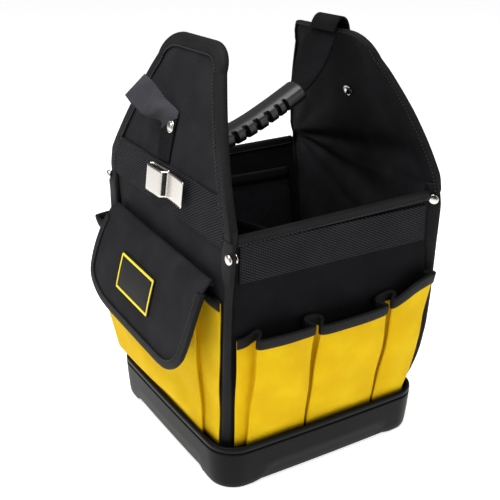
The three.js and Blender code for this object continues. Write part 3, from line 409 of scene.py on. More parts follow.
for side, seed in (("front", 11), ("rear", 12)):
    share = np.linspace(0, 1, 60)[:, None]
    u = np.linspace(-1, 1, 80)[None, :]
    z = WALL_FOOT + (wall_top(side, u * side_end(side, WALL_TOP)) - WALL_FOOT) * share
    s = u * (side_end(side, z) - SEAM)
    sag = -WALL_SAG * np.abs(waves(s, z, seed, WALL_SAG_SIZE))
    cloth = sheet_mesh(on_side(side, s, z, sag), on_side(side, s, z, sag - WALL_THICK), s, z)
    # The walls take the darker copy of the cloth: painted shade
    wall = put_piece(f"{side}_wall_cloth", cloth, shaded_wall_polyester, [f"{side}_wall"])


# End panels: the same polyester over a stiff board, tall and rounded at the top. The left one stands
# nearly flat; the right one is pulled in by the handle and folded at its far corner.
PANEL_TOP, PANEL_ROUND_FROM, PANEL_TOP_FLAT = 418.0, 396.0, 26.0
EAR_FOOT, EAR_HALF, PANEL_THICK = 275.0, 124.0, 4.5
# How much narrower a panel gets with each millimetre up, and how much that grows
EAR_SLANT, EAR_CURVE = 0.535, 0.00027
# Columns: height where the panel starts to lean in, depth at its top
LEAN_LEFT, LEAN_RIGHT = (250.0, 38.8), (261.0, 46.8)
# How much the lean eases off towards the top
LEAN_EASE = 0.3
# Heights from which the right panel swells and does so up to its edges, by how much, how far from a corner
# it fades, and the pull on its far edge
SWELL_FROM, SWELL_EVEN, SWELL_OUT, SWELL_FADE, PULL_FAR = 230.0, 250.0, 5.5, 60.0, 8.0
# How far each edge of a panel stands out beyond the even outline, at these heights
EAR_SPREAD_Z = (275, 290, 320, 350, 385, 404, 412, 416, 418)
EAR_SPREAD = {
    "left": ((6, 13, 11.5, 11, 11, 9.5, 8, 7, 6), (0, 1, 1.5, 1.5, 1, 0.5, 0, 0, 0)),
    "right": ((1, 6, 8, 9.5, 9, 5.5, 5, 5, 5), (1, 8, 11, 11.5, 11.5, 11.5, 15, 20, 27)),
}
# Place from which its folds fan out, the height at which they end, and their length
FOLD_ALONG, FOLD_Z, FOLD_FOOT, FOLD_REACH = 124.0, 279.0, 203.0, 250.0
# Columns: angle, width and height of each fold
FOLDS = [(3.03, 0.1, 5.5), (3.34, 0.1, 5), (2.5, 0.16, 3), (3.62, 0.1, 2.5)]
# How far from the panel's edge the folds end, and the lengths over which they fade out there, at their
# lowest, at their start and at their end
FOLD_INSET, EDGE_FADE, FOOT_FADE, START_FADE, REACH_FADE = 3.0, 16.0, 20.0, 25.0, 60.0
# Heights between which a panel goes from sewn round the corners to flat and free
EAR_BLEND = (262.0, 280.0)
PANEL_HILL, PANEL_HILL_SIZE = 0.5, 90.0


def panel_half(z):
    """Half the width of an end panel above the walls."""
    rise = np.clip(z, EAR_FOOT, PANEL_ROUND_FROM) - EAR_FOOT
    slanted = EAR_HALF - EAR_SLANT * rise - EAR_CURVE * rise * rise
    t = np.clip((z - PANEL_ROUND_FROM) / (PANEL_TOP - PANEL_ROUND_FROM), 0, 1)
    return PANEL_TOP_FLAT + (slanted - PANEL_TOP_FLAT) * np.sqrt(1 - t * t)


def ear_place(side, u, z):
    """Place across an end panel above the walls, for shares u from -1 at one edge to 1 at the other."""
    minus, plus = (panel_half(z) + np.interp(z, EAR_SPREAD_Z, spread) for spread in EAR_SPREAD[side])
    return 0.5 * (1 + u) * plus - 0.5 * (1 - u) * minus


def lean(z, start, depth):
    """How far an end panel leans in at a height."""
    t = np.maximum(0, (z - start) / (PANEL_TOP - start))
    return depth * t * t * (1 + LEAN_EASE - LEAN_EASE * t)


def right_warp(along, z):
    """Bulge, pull of the far edge and fanned folds of the right panel."""
    swell = np.clip((z - SWELL_FROM) / (EAR_FOOT - SWELL_FROM), 0, 1)
    to_corner = body_size(BODY_Y, z) - body_size(BODY_CORNER, z) - np.abs(along)
    inside = np.clip(to_corner / SWELL_FADE, 0, 1)
    inside = inside + (1 - inside) * np.clip((z - SWELL_EVEN) / (EAR_FOOT - SWELL_EVEN), 0, 1)
    rise = np.clip((z - EAR_FOOT + 1) / (PANEL_TOP - EAR_FOOT + 1), 0, 1)
    half = panel_half(z)
    pull = PULL_FAR * np.sin(np.pi * rise) * (0.5 + 0.5 * along / half)
    reach = np.hypot(FOLD_ALONG - along, z - FOLD_Z)
    angle = np.pi - np.arctan2(z - FOLD_Z, FOLD_ALONG - along)
    # The folds fade out at the panel's edges, low down, and at both of their ends
    to_edge = half - np.abs(along) - FOLD_INSET
    fade = np.clip(to_edge / EDGE_FADE, 0, 1) * np.clip((z - FOLD_FOOT) / FOOT_FADE, 0, 1)
    fade = fade * np.clip(reach / START_FADE, 0, 1) * np.clip((FOLD_REACH - reach) / REACH_FADE, 0, 1)
    creases = sum(height * np.exp(-(((angle - at) / width) ** 2)) for at, width, height in FOLDS)
    return SWELL_OUT * swell * inside - pull + fade * creases


def panel_point(side, u, z, offset):
    """Point of a panel: sewn round the corners below, flat and free above."""
    corner = on_side(side, u * (side_end(side, z) - SEAM), z, offset)
    ear = on_flat(side, ear_place(side, u, z), z, offset)
    share = smooth_step((z - EAR_BLEND[0]) / (EAR_BLEND[1] - EAR_BLEND[0]))
    return corner + (ear - corner) * np.broadcast_to(share, ear.shape[:2])[..., None]


PANEL_ROWS = np.concatenate([
    np.linspace(WALL_FOOT, EAR_BLEND[0], 40)[:-1],
    np.linspace(EAR_BLEND[0], PANEL_ROUND_FROM, 50)[:-1],
    PANEL_ROUND_FROM + (PANEL_TOP - PANEL_ROUND_FROM) * np.sin(np.linspace(0, math.pi / 2, 16)),
])
for side, seed in (("left", 21), ("right", 22)):
    z = PANEL_ROWS[:, None]
    u = np.linspace(-1, 1, 96)[None, :]
    s = np.where(z < EAR_FOOT, u * side_half(side, z), ear_place(side, u, z))
    hills = PANEL_HILL * waves(s, z, seed, PANEL_HILL_SIZE)
    cloth = sheet_mesh(panel_point(side, u, z, hills), panel_point(side, u, z, hills - PANEL_THICK), s, z)
    panel = put_piece(f"{side}_panel_cloth", cloth, black_polyester, [f"end_panel_{side}"])


# Bindings of the end panels: a ribbed polyester tape, folded over the cut edge of the cloth from one
# side to the other and sewn through both legs near their edges.
TAPE_THICK, TAPE_GAP, TAPE_OVER = 1.2, 0.3, 2.0
# Rounding of the tape's cut edges: up from its inner face, back from the edge, down from its outer face
CUT_UP, CUT_BACK, CUT_DOWN = 0.2, 0.5, 0.1
PANEL_TAPE_LEG, PANEL_TAPE_UNDER, PANEL_TAPE_SLACK = 11.0, 2.0, 0.3
PANEL_TAPE_HALF = PANEL_THICK / 2 + PANEL_TAPE_SLACK
# Heights at which the bindings end; they are pressed thin over the last millimetres
TAPE_FOOT, TAPE_PRESSED, PRESSED_SHARE = {"left": 257.0, "right": 271.0}, 14.0, 0.66


def tape_section(half, leg, under_leg=None):
    """Section of a folded tape: place beyond the cloth's edge, and distance from the cloth's middle."""
    inner, outer = half + TAPE_GAP, half + TAPE_GAP + TAPE_THICK
    under_leg = under_leg or leg
    turn = np.linspace(math.pi / 2, -math.pi / 2, 9)
    bend = np.stack([TAPE_OVER * np.cos(turn), outer * np.sin(turn)], -1)
    return np.concatenate([
        [(-leg, inner + CUT_UP), (-leg + CUT_BACK, outer - CUT_DOWN), (-leg / 2, outer)],
        bend,
        [(-under_leg / 2, -outer), (-under_leg + CUT_BACK, -outer + CUT_DOWN)],
        [(-under_leg, -inner - CUT_UP)],
        [(TAPE_OVER - TAPE_THICK, -inner), (TAPE_OVER - TAPE_THICK, inner)],
    ])


def unit(rows):
    """Rows of ways, each made one long."""
    return rows / np.linalg.norm(rows, axis=1, keepdims=True)


def edge_frame(outline):
    """Ways out of the cloth at the places (s, z) of its edge, which runs with the cloth at its right."""
    outline = np.asarray(outline, float)
    step = unit(np.gradient(outline, axis=0))
    return outline, np.stack([-step[:, 1], step[:, 0]], -1)


def edge_tape(outline, section, surface):
    """Tape over an edge; surface gives the point at a place on the cloth, away from its middle."""
    outline, outward = edge_frame(outline)
    s = outline[:, :1] + outward[:, :1] * section[None, :, 0]
    z = outline[:, 1:] + outward[:, 1:] * section[None, :, 0]
    return tube(surface(s, z, np.broadcast_to(section[None, :, 1], s.shape)))


# Ribbed tape: cross ribs 2 mm apart that give a dull stripe along the light
ribbed_tape = woven("ribbed_polyester_tape", thread="#1A1A1D", gap="#070708",
                    warp_mm=2.0, weft_mm=0.9, depth_mm=0.45, rough=0.6, gloss=0.16)

ear_edge_z = np.concatenate([
    np.linspace(EAR_FOOT + 2, PANEL_ROUND_FROM, 60)[:-1],
    PANEL_ROUND_FROM + (PANEL_TOP - PANEL_ROUND_FROM) * np.sin(np.linspace(0, math.pi / 2, 14)),
])


def ear_edge(side):
    """Edge of a panel from one corner over the top to the other."""
    across_top = ear_place(side, np.linspace(-1, 1, 20)[1:-1], PANEL_TOP)
    foot_z = np.linspace(TAPE_FOOT[side], EAR_FOOT, 8)
    return np.concatenate([
        np.stack([ear_place(side, -1, EAR_FOOT) + 0 * foot_z, foot_z], -1),
        np.stack([ear_place(side, -1, ear_edge_z), ear_edge_z], -1),
        np.stack([across_top, np.full_like(across_top, PANEL_TOP)], -1),
        np.stack([ear_place(side, 1, ear_edge_z), ear_edge_z], -1)[::-1],
        np.stack([ear_place(side, 1, EAR_FOOT) + 0 * foot_z, foot_z], -1)[::-1],
    ])


def on_tape(side, s, z, across):
    """Point of a panel's binding, away from the middle of the cloth; it is pressed thin at its ends."""
    thick = PRESSED_SHARE + (1 - PRESSED_SHARE) * np.clip((z - TAPE_FOOT[side]) / TAPE_PRESSED, 0, 1)
    return on_flat(side, s, z, across * thick - PANEL_THICK / 2)


PANEL_TAPE = tape_section(PANEL_TAPE_HALF, PANEL_TAPE_LEG, PANEL_TAPE_UNDER)
for side in ("left", "right"):
    tape = edge_tape(ear_edge(side), PANEL_TAPE, partial(on_tape, side))
    put_piece(f"{side}_panel_tape", tape, ribbed_tape, [f"panel_binding_{side}"])


# Seams of the bindings: black polyester thread in stitches 2.4 mm long, sunk at both ends. The thread
# is drawn twice as thick as it is, to show.
STITCH_LENGTH, STITCH_PITCH, THREAD_HALF, THREAD_SIDES = 2.4, 3.6, 0.8, 6
# Columns: share of the stitch's length, of the thread's thickness, and how far it stands out or is sunk
STITCH_PROFILE = [(0, 0.3, -0.5), (0.2, 1, 0), (0.8, 1, 0), (1, 0.3, -0.5)]
# Where a seam starts, the step that gives its way, and its inset from the edge of a panel's tape
SEAM_START, SEAM_STEP, PANEL_SEAM_INSET = 2.0, 0.5, 1.0

# Thread: a blacker yarn than the tape, so each stitch shows as a small dark dash
polyester_thread = make_finish("polyester_thread", {"Base Color": to_linear("#0A0A0B"), "Roughness": 0.6})


def at_run(at, run, rows):
    """Point or way at a distance along a path."""
    return np.array([np.interp(at, run, rows[:, k]) for k in range(3)])


def sew(name, path, outward):
    """A row of stitches along a path of points, standing out of the cloth."""
    run = run_along(path)
    starts = np.arange(SEAM_START, run[-1] - STITCH_PITCH, STITCH_PITCH)
    ring = np.linspace(0, 2 * math.pi, THREAD_SIDES + 1)[:-1]
    points, faces = [], []
    for start in starts:
        base = len(points)
        for share, size, sink in STITCH_PROFILE:
            at = start + share * STITCH_LENGTH
            middle, normal = at_run(at, run, path), at_run(at, run, outward)
            ahead = at_run(at + SEAM_STEP, run, path) - middle
            side_way = np.cross(normal, ahead)
            side_way = side_way / np.linalg.norm(side_way)
            normal = normal / np.linalg.norm(normal)
            for angle in ring:
                wide, high = THREAD_HALF * size * math.cos(angle), THREAD_HALF * size * math.sin(angle)
                points.append(middle + side_way * wide + normal * (high + sink * THREAD_HALF))
        last = len(points) - THREAD_SIDES
        for row in range(base, last, THREAD_SIDES):
            for i in range(THREAD_SIDES):
                j = (i + 1) % THREAD_SIDES
                faces.append((row + i, row + j, row + THREAD_SIDES + j, row + THREAD_SIDES + i))
        faces += [tuple(range(end, end + THREAD_SIDES)) for end in (base, last)]
    points = np.array(points)
    return put_piece(name, (points, faces, points), polyester_thread)


def sew_edge(name, outline, inset, surface, across):
    """Stitches on a binding, inset from the cloth's edge, on the face at a distance from its middle."""
    outline, outward = edge_frame(outline)
    s, z = (outline - outward * inset).T
    path = surface(s, z, across)
    return sew(name, path, path - surface(s, z, 0))


PANEL_TAPE_OUT = PANEL_TAPE_HALF + TAPE_GAP + TAPE_THICK
for side in ("left", "right"):
    for face, sign, leg in (("outer", 1, PANEL_TAPE_LEG), ("inner", -1, PANEL_TAPE_UNDER)):
        sew_edge(f"{side}_panel_{face}_stitches", ear_edge(side), leg - PANEL_SEAM_INSET,
                 partial(on_tape, side), sign * PANEL_TAPE_OUT)


# Corner strips and rivets: a folded tape covers each corner seam. It lies flat at the tray and stands
# out as a fin at the top, where a nickel-plated steel rivet goes through it.
# Columns: height, half the width, share of the turn from the corner's diagonal to the fin
STRIP_ROWS = [
    (46, 4.6, 0), (51, 4.6, 0), (120, 4.4, 0.05), (200, 3.8, 0.45), (240, 3, 1), (256, 2.5, 1),
    (266, 1, 1), (281, 1, 1),
]
# How deep the strip and the fin sit in the cloth, how far the fin's foot stands past the corner, how far the
# strip bows out where it turns, and the powers that square its section
STRIP_SUNK, FIN_SUNK, FIN_PAST, STRIP_BOW = 0.3, 6.0, 0.4, 2.2
SQUARE_ACROSS, SQUARE_OUT = 0.7, 0.6
# Depths at these heights; the right strips stand out all the way down
FRONT_LEFT_DEPTHS = (2.4, 2.6, 3.3, 6.6, 10.5, 11.2, 9)
REAR_LEFT_DEPTHS = (2.4, 2.6, 3.3, 9, 17, 16.5, 6)
RIGHT_DEPTHS = (3.6, 4, 7, 9, 11, 11.4, 10.6, 8)
# Columns: name, signs of the corner, way of the fin, height of the rivet, how far out it sits, depths
CORNERS = [
    ("front_left", -1, -1, (0, -1), 252, 6.0, FRONT_LEFT_DEPTHS),
    ("front_right", 1, -1, (math.sqrt(0.5), -math.sqrt(0.5)), 265.5, 3.4, RIGHT_DEPTHS),
    ("rear_left", -1, 1, (0, 1), 258, 11.0, REAR_LEFT_DEPTHS),
    ("rear_right", 1, 1, (math.sqrt(0.5), math.sqrt(0.5)), 264, 6.0, RIGHT_DEPTHS),
]
# Columns: radius, height above the fin's middle
RIVET_PROFILE = [
    (0.01, -4), (4.4, -4), (4.9, -3.8), (5, -3.4), (4.9, -2.8), (2, -2.6), (2, 2.2), (5, 2.2), (5.05, 3.2),
    (4.9, 3.9), (4.4, 4.5), (3.6, 4.9), (2.4, 5.3), (1.2, 5.45), (0.01, 5.5),
]


def smooth_rows(rows, count):
    """Rows of a table with smooth ones between them."""
    rows = np.asarray(rows, float)
    longer = np.concatenate([2 * rows[:1] - rows[1:2], rows, 2 * rows[-1:] - rows[-2:-1]])
    t = np.linspace(0, len(rows) - 1, count)
    i = np.minimum(t.astype(int), len(rows) - 2)
    f = (t - i)[:, None]
    a, b, c, d = (longer[i + k] for k in range(4))
    return b + 0.5 * f * (c - a + f * (2 * a - 5 * b + 4 * c - d + f * (3 * (b - c) + d - a)))


def strip_frame(sx, sy, fin, z, turn):
    """Foot of a corner strip, its way out and its way across."""
    radius = body_size(BODY_CORNER, z)
    to_diagonal = radius * (1 - math.sqrt(0.5))
    diagonal = np.array([sx, sy]) / math.sqrt(2)
    way = diagonal + (np.array(fin) - diagonal) * turn
    way = way / np.linalg.norm(way)
    half_x, half_y = body_size(BODY_X, z), body_size(BODY_Y, z)
    foot = np.array([sx * (half_x - to_diagonal), sy * (half_y - to_diagonal)])
    if fin[0] == 0:
        high = np.array([sx * (half_x + FIN_PAST), sy * half_y])
        foot = foot + (high - foot) * turn + way * STRIP_BOW * math.sin(math.pi * turn)
    return foot, way, np.array([-way[1], way[0]])


def turned(profile, place, axis, count=40):
    """Round piece about an axis: radius and height of each row of its profile."""
    turn = np.array(Vector(axis).normalized().to_track_quat("Z", "Y").to_matrix())
    angle = np.linspace(0, 2 * math.pi, count + 1)[:-1]
    rings = [np.stack([r * np.cos(angle), r * np.sin(angle), 0 * angle + h], -1) for r, h in profile]
    return tube(np.array(rings) @ turn.T + np.array(place))


# Nickel plate: bright and slightly warm, with a little blur from the barrel polish
nickel = make_finish("nickel_plate", {
    "Base Color": to_linear("#CFCBC4"), "Metallic": 1.0, "Roughness": 0.22,
})

strip_turn = np.linspace(0, math.pi, 17)
STRIP_ACROSS = np.sign(np.cos(strip_turn)) * np.abs(np.cos(strip_turn)) ** SQUARE_ACROSS
STRIP_DEPTH = np.abs(np.sin(strip_turn)) ** SQUARE_OUT
for name, sx, sy, fin, rivet_z, rivet_out, depths in CORNERS:
    rings = []
    for z, half, turn, depth in smooth_rows(np.column_stack([STRIP_ROWS[:len(depths)], depths]), 60):
        turn = min(max(turn, 0), 1)
        foot, way, across = strip_frame(sx, sy, fin, z, turn)
        sunk = STRIP_SUNK + FIN_SUNK * turn * (1 - STRIP_DEPTH)
        places = foot + np.outer(STRIP_ACROSS * half, across) + np.outer(STRIP_DEPTH * depth - sunk, way)
        rings.append(np.column_stack([places, np.full(len(places), z)]))
    put_piece(f"{name}_strip_tape", tube(rings), ribbed_tape, [f"corner_strip_{name}"])
    foot, way, across = strip_frame(sx, sy, fin, rivet_z, 1)
    middle = np.append(foot + way * rivet_out, rivet_z)
    axis = np.append(across * np.sign(across[0] * sx), 0)
    rivet = turned(RIVET_PROFILE, middle, axis)
    put_piece(f"{name}_rivet", rivet, nickel, [f"corner_rivet_{name}"])


# Top bindings and mesh bands: tape over the top edges of the front and rear walls, and below it a band
# of coarse net cloth that is sewn flat on the wall.
WALL_TAPE_LEG, WALL_TAPE_INSET, WALL_SEAM_INSET = 8.0, 5.0, 2.0
WALL_TAPE = tape_section(WALL_THICK / 2, WALL_TAPE_LEG)
WALL_TAPE_OUT = WALL_THICK / 2 + TAPE_GAP + TAPE_THICK
BAND_FOOT, BAND_TOP, BAND_INSET, BAND_THICK, BAND_GAP = 223.0, 261.0, 9.0, 1.5, 0.3
# Rows and columns of a band's mesh, and the share of its length about which it drops
BAND_ROWS, BAND_COLUMNS, DROP_PIVOT = 24, 90, 0.4

# Net cloth: flat knots 4.9 mm apart in rows set off by half, with deep dark eyes between them
net_cloth = woven("coarse_net_cloth", thread="#3C3C42", gap="#040405",
                  warp_mm=2.3, weft_mm=2.3, depth_mm=1.4, rough=0.8, gloss=0.12,
                  uneven=0.05, slant=28)


def band_cloth(side, foot, top, ends, drop=(0, 0)):
    """Flat band on a side between two heights; ends gives its ends at a height, and drop says how much lower
    its foot and its top are at the right."""
    z = np.linspace(foot, top, BAND_ROWS)[:, None]
    start, stop = ends(z)
    s = start + (stop - start) * np.linspace(0, 1, BAND_COLUMNS)
    z = z - np.linspace(*drop, BAND_ROWS)[:, None] * np.linspace(-DROP_PIVOT, 1 - DROP_PIVOT, BAND_COLUMNS)
    return sheet_mesh(on_flat(side, s, z, BAND_GAP + BAND_THICK), on_flat(side, s, z, BAND_GAP), s, z)


def on_wall(side, s, z, across):
    """Point on a wall, away from the middle of its cloth."""
    return on_flat(side, s, z, across - WALL_THICK / 2)


def band_ends(side, z):
    """Ends of the mesh band on a wall."""
    return BAND_INSET - side_end(side, z), side_end(side, z) - BAND_INSET


for side in ("front", "rear"):
    end = side_end(side, WALL_TOP) - WALL_TAPE_INSET
    s = np.linspace(-end, end, 60)
    edge = np.stack([s, wall_top(side, s)], -1)
    tape = edge_tape(edge, WALL_TAPE, partial(on_wall, side))
    put_piece(f"{side}_top_tape", tape, ribbed_tape, [f"{side}_top_binding"])
    for face, sign in (("outer", 1), ("inner", -1)):
        sew_edge(f"{side}_top_{face}_stitches", edge, WALL_TAPE_LEG - WALL_SEAM_INSET,
                 partial(on_wall, side), sign * WALL_TAPE_OUT)
    band = band_cloth(side, BAND_FOOT, BAND_TOP, partial(band_ends, side))
    put_piece(f"{side}_net_band", band, net_cloth, [f"{side}_mesh_band"])


# Outside pockets: one length of yellow polyester round each side, laid in box pleats between flat faces
# and tucked into the tray. Black tape is folded over its mouth.
POCKET_FOOT, POCKET_TUCK, POCKET_THICK, POCKET_TAPE_LEG = 51.0, 45.0, 1.4, 9.0
# Share of its half width that a pleat's bulb has at the wall
BULB_AT_WALL = 0.75
# Columns: share of the neck's half width, of the bulb's half width, and of the depth from wall to face
PLEAT_RIGHT_HALF = [(0, BULB_AT_WALL, 0.06), (0, 1, 0.34), (1, 0.12, 0.74), (1, 0, 1)]
END_TUCK, END_FLAT, PLEAT_RISE = 5.0, 4.0, 7.0
# Turn of an end without a pleat. Columns: place past the tuck at the foot and at the mouth, share of depth
END_TURN = [(0.2, 2.6, 0.8), (0.2, 1, 0.35)]
# At the foot and at the mouth: half the pleat's neck, the cloth's distance from the wall, its end's inset
NECK_HALVES, WALL_OFFSETS, END_INSETS = (1.8, 3.6), (1.4, 2.9), (7.4, 6.8)
BULB_FOOT, FACE_FOOT, FACE_CURVE, FREE_SHARE = 4.6, 6.2, 0.85, 0.1
# Swell up the height as part of a half wave: where it is at the foot, and its rise to the mouth, for the
# middle of a face and for its start, which also has a highest value
FULL_AT_FOOT, FULL_RISE = 0.25, 0.6
START_AT_FOOT, START_RISE, START_MOST = 0.2, 0.8, 0.95
# How much of the start's swell goes sideways, about which share of the height, and how widely
SIDE_SWELL, SIDE_AT, SIDE_WIDE = 0.4, 0.36, 0.14
DENT_DEPTH, DENT_SIZE, DENT_SLANT, DENT_STRETCH, DENT_SEED = 1.5, 46.0, 0.35, 0.5, 41
# The left pocket's far mouth hangs loose beyond this place, where it is this far off the wall, and gapes in
# the top quarter
LOOSE_FROM, LOOSE_OFFSET, LOOSE_OVER = -100.0, 3.0, 5.0
LOOSE_MOUTH_OUT, GAPE_INSET, GAPE_OVER, GAPE_FROM = 8.0, 6.0, 14.0, 0.75
# Columns of the faces: start at the foot and at the mouth, end, how far the mouth stands out, its heights
# at both ends, swell of the middle and of the start
WALL_FACES = [
    (-94, -94, -24, 15, 166, 165, 3, 0),
    (-24, -24, 61, 16, 163, 165, 4, 0),
    (61, 61, 112, 14, 168, 186, 3, 0),
]
# Columns: pocket, side, half width of its pleats, whether its right end is a pleat, faces
POCKETS = [
    ("front_pocket", "front", 10, False, WALL_FACES),
    ("rear_pocket", "rear", 10, False, WALL_FACES),
    ("left_pocket", "left", 11, True, [(-98, -135, 76, 12, 213, 203, 6, 16)]),
    ("right_pocket", "right", 9, True, [(-88, -97, 88, 19, 188, 192, 5, 4)]),
]


def between(a, b, share):
    """Value at a share of the way from a to b."""
    return a + (b - a) * share


def pocket_path(side, bulb_top, end_pleat, faces, v):
    """Path of a pocket's cloth at the height share v: places along the side, offsets, mouth heights."""
    neck, bulb, wall = between(*NECK_HALVES, v), between(BULB_FOOT, bulb_top, v), between(*WALL_OFFSETS, v)
    free = smooth_step(v / FREE_SHARE)
    full = free * math.sin(math.pi * min(1, FULL_AT_FOOT + v * FULL_RISE))
    start_full = free * math.sin(math.pi * min(START_MOST, START_AT_FOOT + START_RISE * v))
    mouth = faces[0][4]
    end = side_end(side, between(POCKET_FOOT, mouth, v)) - between(*END_INSETS, v)
    tucked = end - END_TUCK * math.sin(math.pi * v)
    first = between(faces[0][0], faces[0][1], v)
    path = [(-end, wall, mouth), (between(-end, first + BULB_AT_WALL * bulb, 0.5), wall, mouth)]
    for i, (foot, start, stop, mouth_out, top, top_right, swell, swell_from) in enumerate(faces):
        last = i == len(faces) - 1
        sideways = SIDE_SWELL * swell_from * math.exp(-((v - SIDE_AT) / SIDE_WIDE) ** 2)
        start = between(foot, start, v) - sideways
        face = between(FACE_FOOT, mouth_out, v ** FACE_CURVE)
        for a, b, depth in PLEAT_RIGHT_HALF:
            path.append((start + a * neck + b * bulb, between(wall, face + swell_from * start_full, depth),
                         top + PLEAT_RISE * (1 - depth)))
        face_end = tucked - 2 * END_FLAT if last and not end_pleat else stop
        for u in (0.25, 0.5, 0.75):
            rise = swell * math.sin(math.pi * u) * full + swell_from * start_full * (1 - u)
            path.append((between(start + neck, face_end - neck, u), face + rise, between(top, top_right, u)))
        if not last or end_pleat:
            for a, b, depth in PLEAT_RIGHT_HALF[::-1]:
                path.append((stop - a * neck - b * bulb, between(wall, face, depth),
                             top_right + PLEAT_RISE * (1 - depth)))
        if not last:
            path.append((stop, wall, between(top_right, faces[i + 1][4], 0.5) + PLEAT_RISE))
        elif end_pleat:
            path.append((between(end, stop - BULB_AT_WALL * bulb, 0.5), wall, top_right))
        else:
            path.append((tucked - END_FLAT, face, top_right))
            for at_foot, at_mouth, depth in END_TURN:
                path.append((tucked + between(at_foot, at_mouth, v), between(wall, face, depth), top_right))
    path.append((end, wall, faces[-1][5]))
    path = np.array(path)
    # Each round cuts the corners of the path off, a quarter of the way along its legs
    for _ in range(3):
        cut = np.stack([0.75 * path[:-1] + 0.25 * path[1:], 0.25 * path[:-1] + 0.75 * path[1:]], 1)
        path = np.concatenate([path[:1], cut.reshape(-1, 3), path[-1:]])
    return path


def pocket_points(side, path, v, across, rise=0.0):
    """Points on a pocket's cloth along its path, at a distance from the middle of the cloth."""
    step = unit(np.gradient(path[:, :2], axis=0))
    z = between(POCKET_FOOT, path[:, 2], v) + rise
    dents = DENT_DEPTH * math.sin(math.pi * min(max(v, 0), 1))
    dents = dents * waves(path[:, 0] + DENT_SLANT * z, DENT_STRETCH * z, DENT_SEED, DENT_SIZE)
    s, offset = path[:, 0] - step[:, 1] * across, path[:, 1] + step[:, 0] * across + dents
    points = on_side(side, s, z, offset)
    if side == "left":
        loose = smooth_step((offset - LOOSE_OFFSET) / LOOSE_OVER) * (s < LOOSE_FROM)
        gape = LOOSE_MOUTH_OUT * loose * smooth_step((LOOSE_FROM - GAPE_INSET - s) / GAPE_OVER)
        gape = gape * smooth_step((v - GAPE_FROM) / (1 - GAPE_FROM))
        points = points + (on_flat(side, s, z, offset + gape) - points) * loose[:, None]
    return points


# Yellow polyester: the same weave in a strong warm yellow, deeper in its gaps
yellow_polyester = woven("yellow_woven_polyester", thread="#E8CB12", gap="#CFA306",
                         warp_mm=1.1, weft_mm=1.1, depth_mm=0.2, rough=0.8, gloss=0.1)

for name, side, bulb, end_pleat, faces in POCKETS:
    mouth = faces[0][4]
    shares = np.append((POCKET_TUCK - POCKET_FOOT) / (mouth - POCKET_FOOT), np.linspace(0, 1, 30))
    paths = [pocket_path(side, bulb, end_pleat, faces, max(v, 0)) for v in shares]
    front, rear = (np.array([pocket_points(side, path, v, half) for path, v in zip(paths, shares)])
                   for half in (POCKET_THICK / 2, -POCKET_THICK / 2))
    run = run_along(paths[-1][:, :2])
    height = mouth - POCKET_TUCK
    cloth = sheet_mesh(front, rear, run[None, :], (shares * height)[:, None])
    pocket = put_piece(f"{name}_cloth", cloth, yellow_polyester, [name])
    leg_share = 1 - POCKET_TAPE_LEG / (mouth - POCKET_FOOT)
    leg_path = pocket_path(side, bulb, end_pleat, faces, leg_share)
    rows = []
    for beyond, across in tape_section(POCKET_THICK / 2, POCKET_TAPE_LEG):
        up_leg = min(max(1 + beyond / POCKET_TAPE_LEG, 0), 1)
        path = between(leg_path, paths[-1], up_leg)
        rows.append(pocket_points(side, path, between(leg_share, 1, up_leg), across, max(beyond, 0)))
    tape = put_piece(f"{name}_tape", tube(np.array(rows).transpose(1, 0, 2)), ribbed_tape,
                     [f"{name}_binding"])


# Flap: stiff black polyester, sewn to the left panel above its pocket, bent outwards and hanging over
# the pocket. Tape is folded over its three free edges.
FLAP_THICK, FLAP_TAPE_LEG, FLAP_SEAM_INSET = 2.2, 8.0, 1.6
# Columns: height, distance out from the panel, places of the far and the near edge
FLAP_ROOT = [
    (228, 2, -104, 98), (232.5, 3.2, -105, 100), (234.5, 6.4, -106, 102), (232.5, 10.6, -106.5, 103),
]
FLAP_HANG = [
    (225, 15.6, -107.5, 103.5), (207, 22.8, -111.5, 104), (184, 29.5, -116, 102), (163, 34.5, -116.5, 97),
    (152.5, 36.8, -110, 90), (145.5, 38, -98, 81), (141, 38.8, -82, 70), (139, 39, -64, 57),
]
FLAP_SAG, SAG_FROM, SAG_WIDTH, SAG_CURVE = 12.0, -116.0, 210.0, 0.85
flap_rows = smooth_rows(FLAP_ROOT + FLAP_HANG, 90)
hang_rows = smooth_rows(FLAP_HANG, 60)


def flap_sag(s):
    """How far the flap hangs lower towards its near edge."""
    return FLAP_SAG * np.clip((s - SAG_FROM) / SAG_WIDTH, 0, 1) ** SAG_CURVE


def on_flap(s, z, across):
    """Point on the hanging part of the flap."""
    out = np.interp(z, hang_rows[::-1, 0], hang_rows[::-1, 1])
    return to_bag("left", s, BODY_X[1] + out + across, z - flap_sag(s))


step = unit(np.gradient(flap_rows[:, :2], axis=0))
s = between(flap_rows[:, 2:3], flap_rows[:, 3:], np.linspace(0, 1, 70)[None, :])
flap_faces = []
for across in (FLAP_THICK / 2, -FLAP_THICK / 2):
    z = flap_rows[:, :1] + step[:, 1:] * across - flap_sag(s)
    out = BODY_X[1] + flap_rows[:, 1:2] - step[:, :1] * across
    flap_faces.append(to_bag("left", s, out, z))
run = run_along(flap_rows[:, :2])
flap = put_piece("flap_cloth", sheet_mesh(*flap_faces, s, -run[:, None]), black_polyester,
                 ["left_flap"])

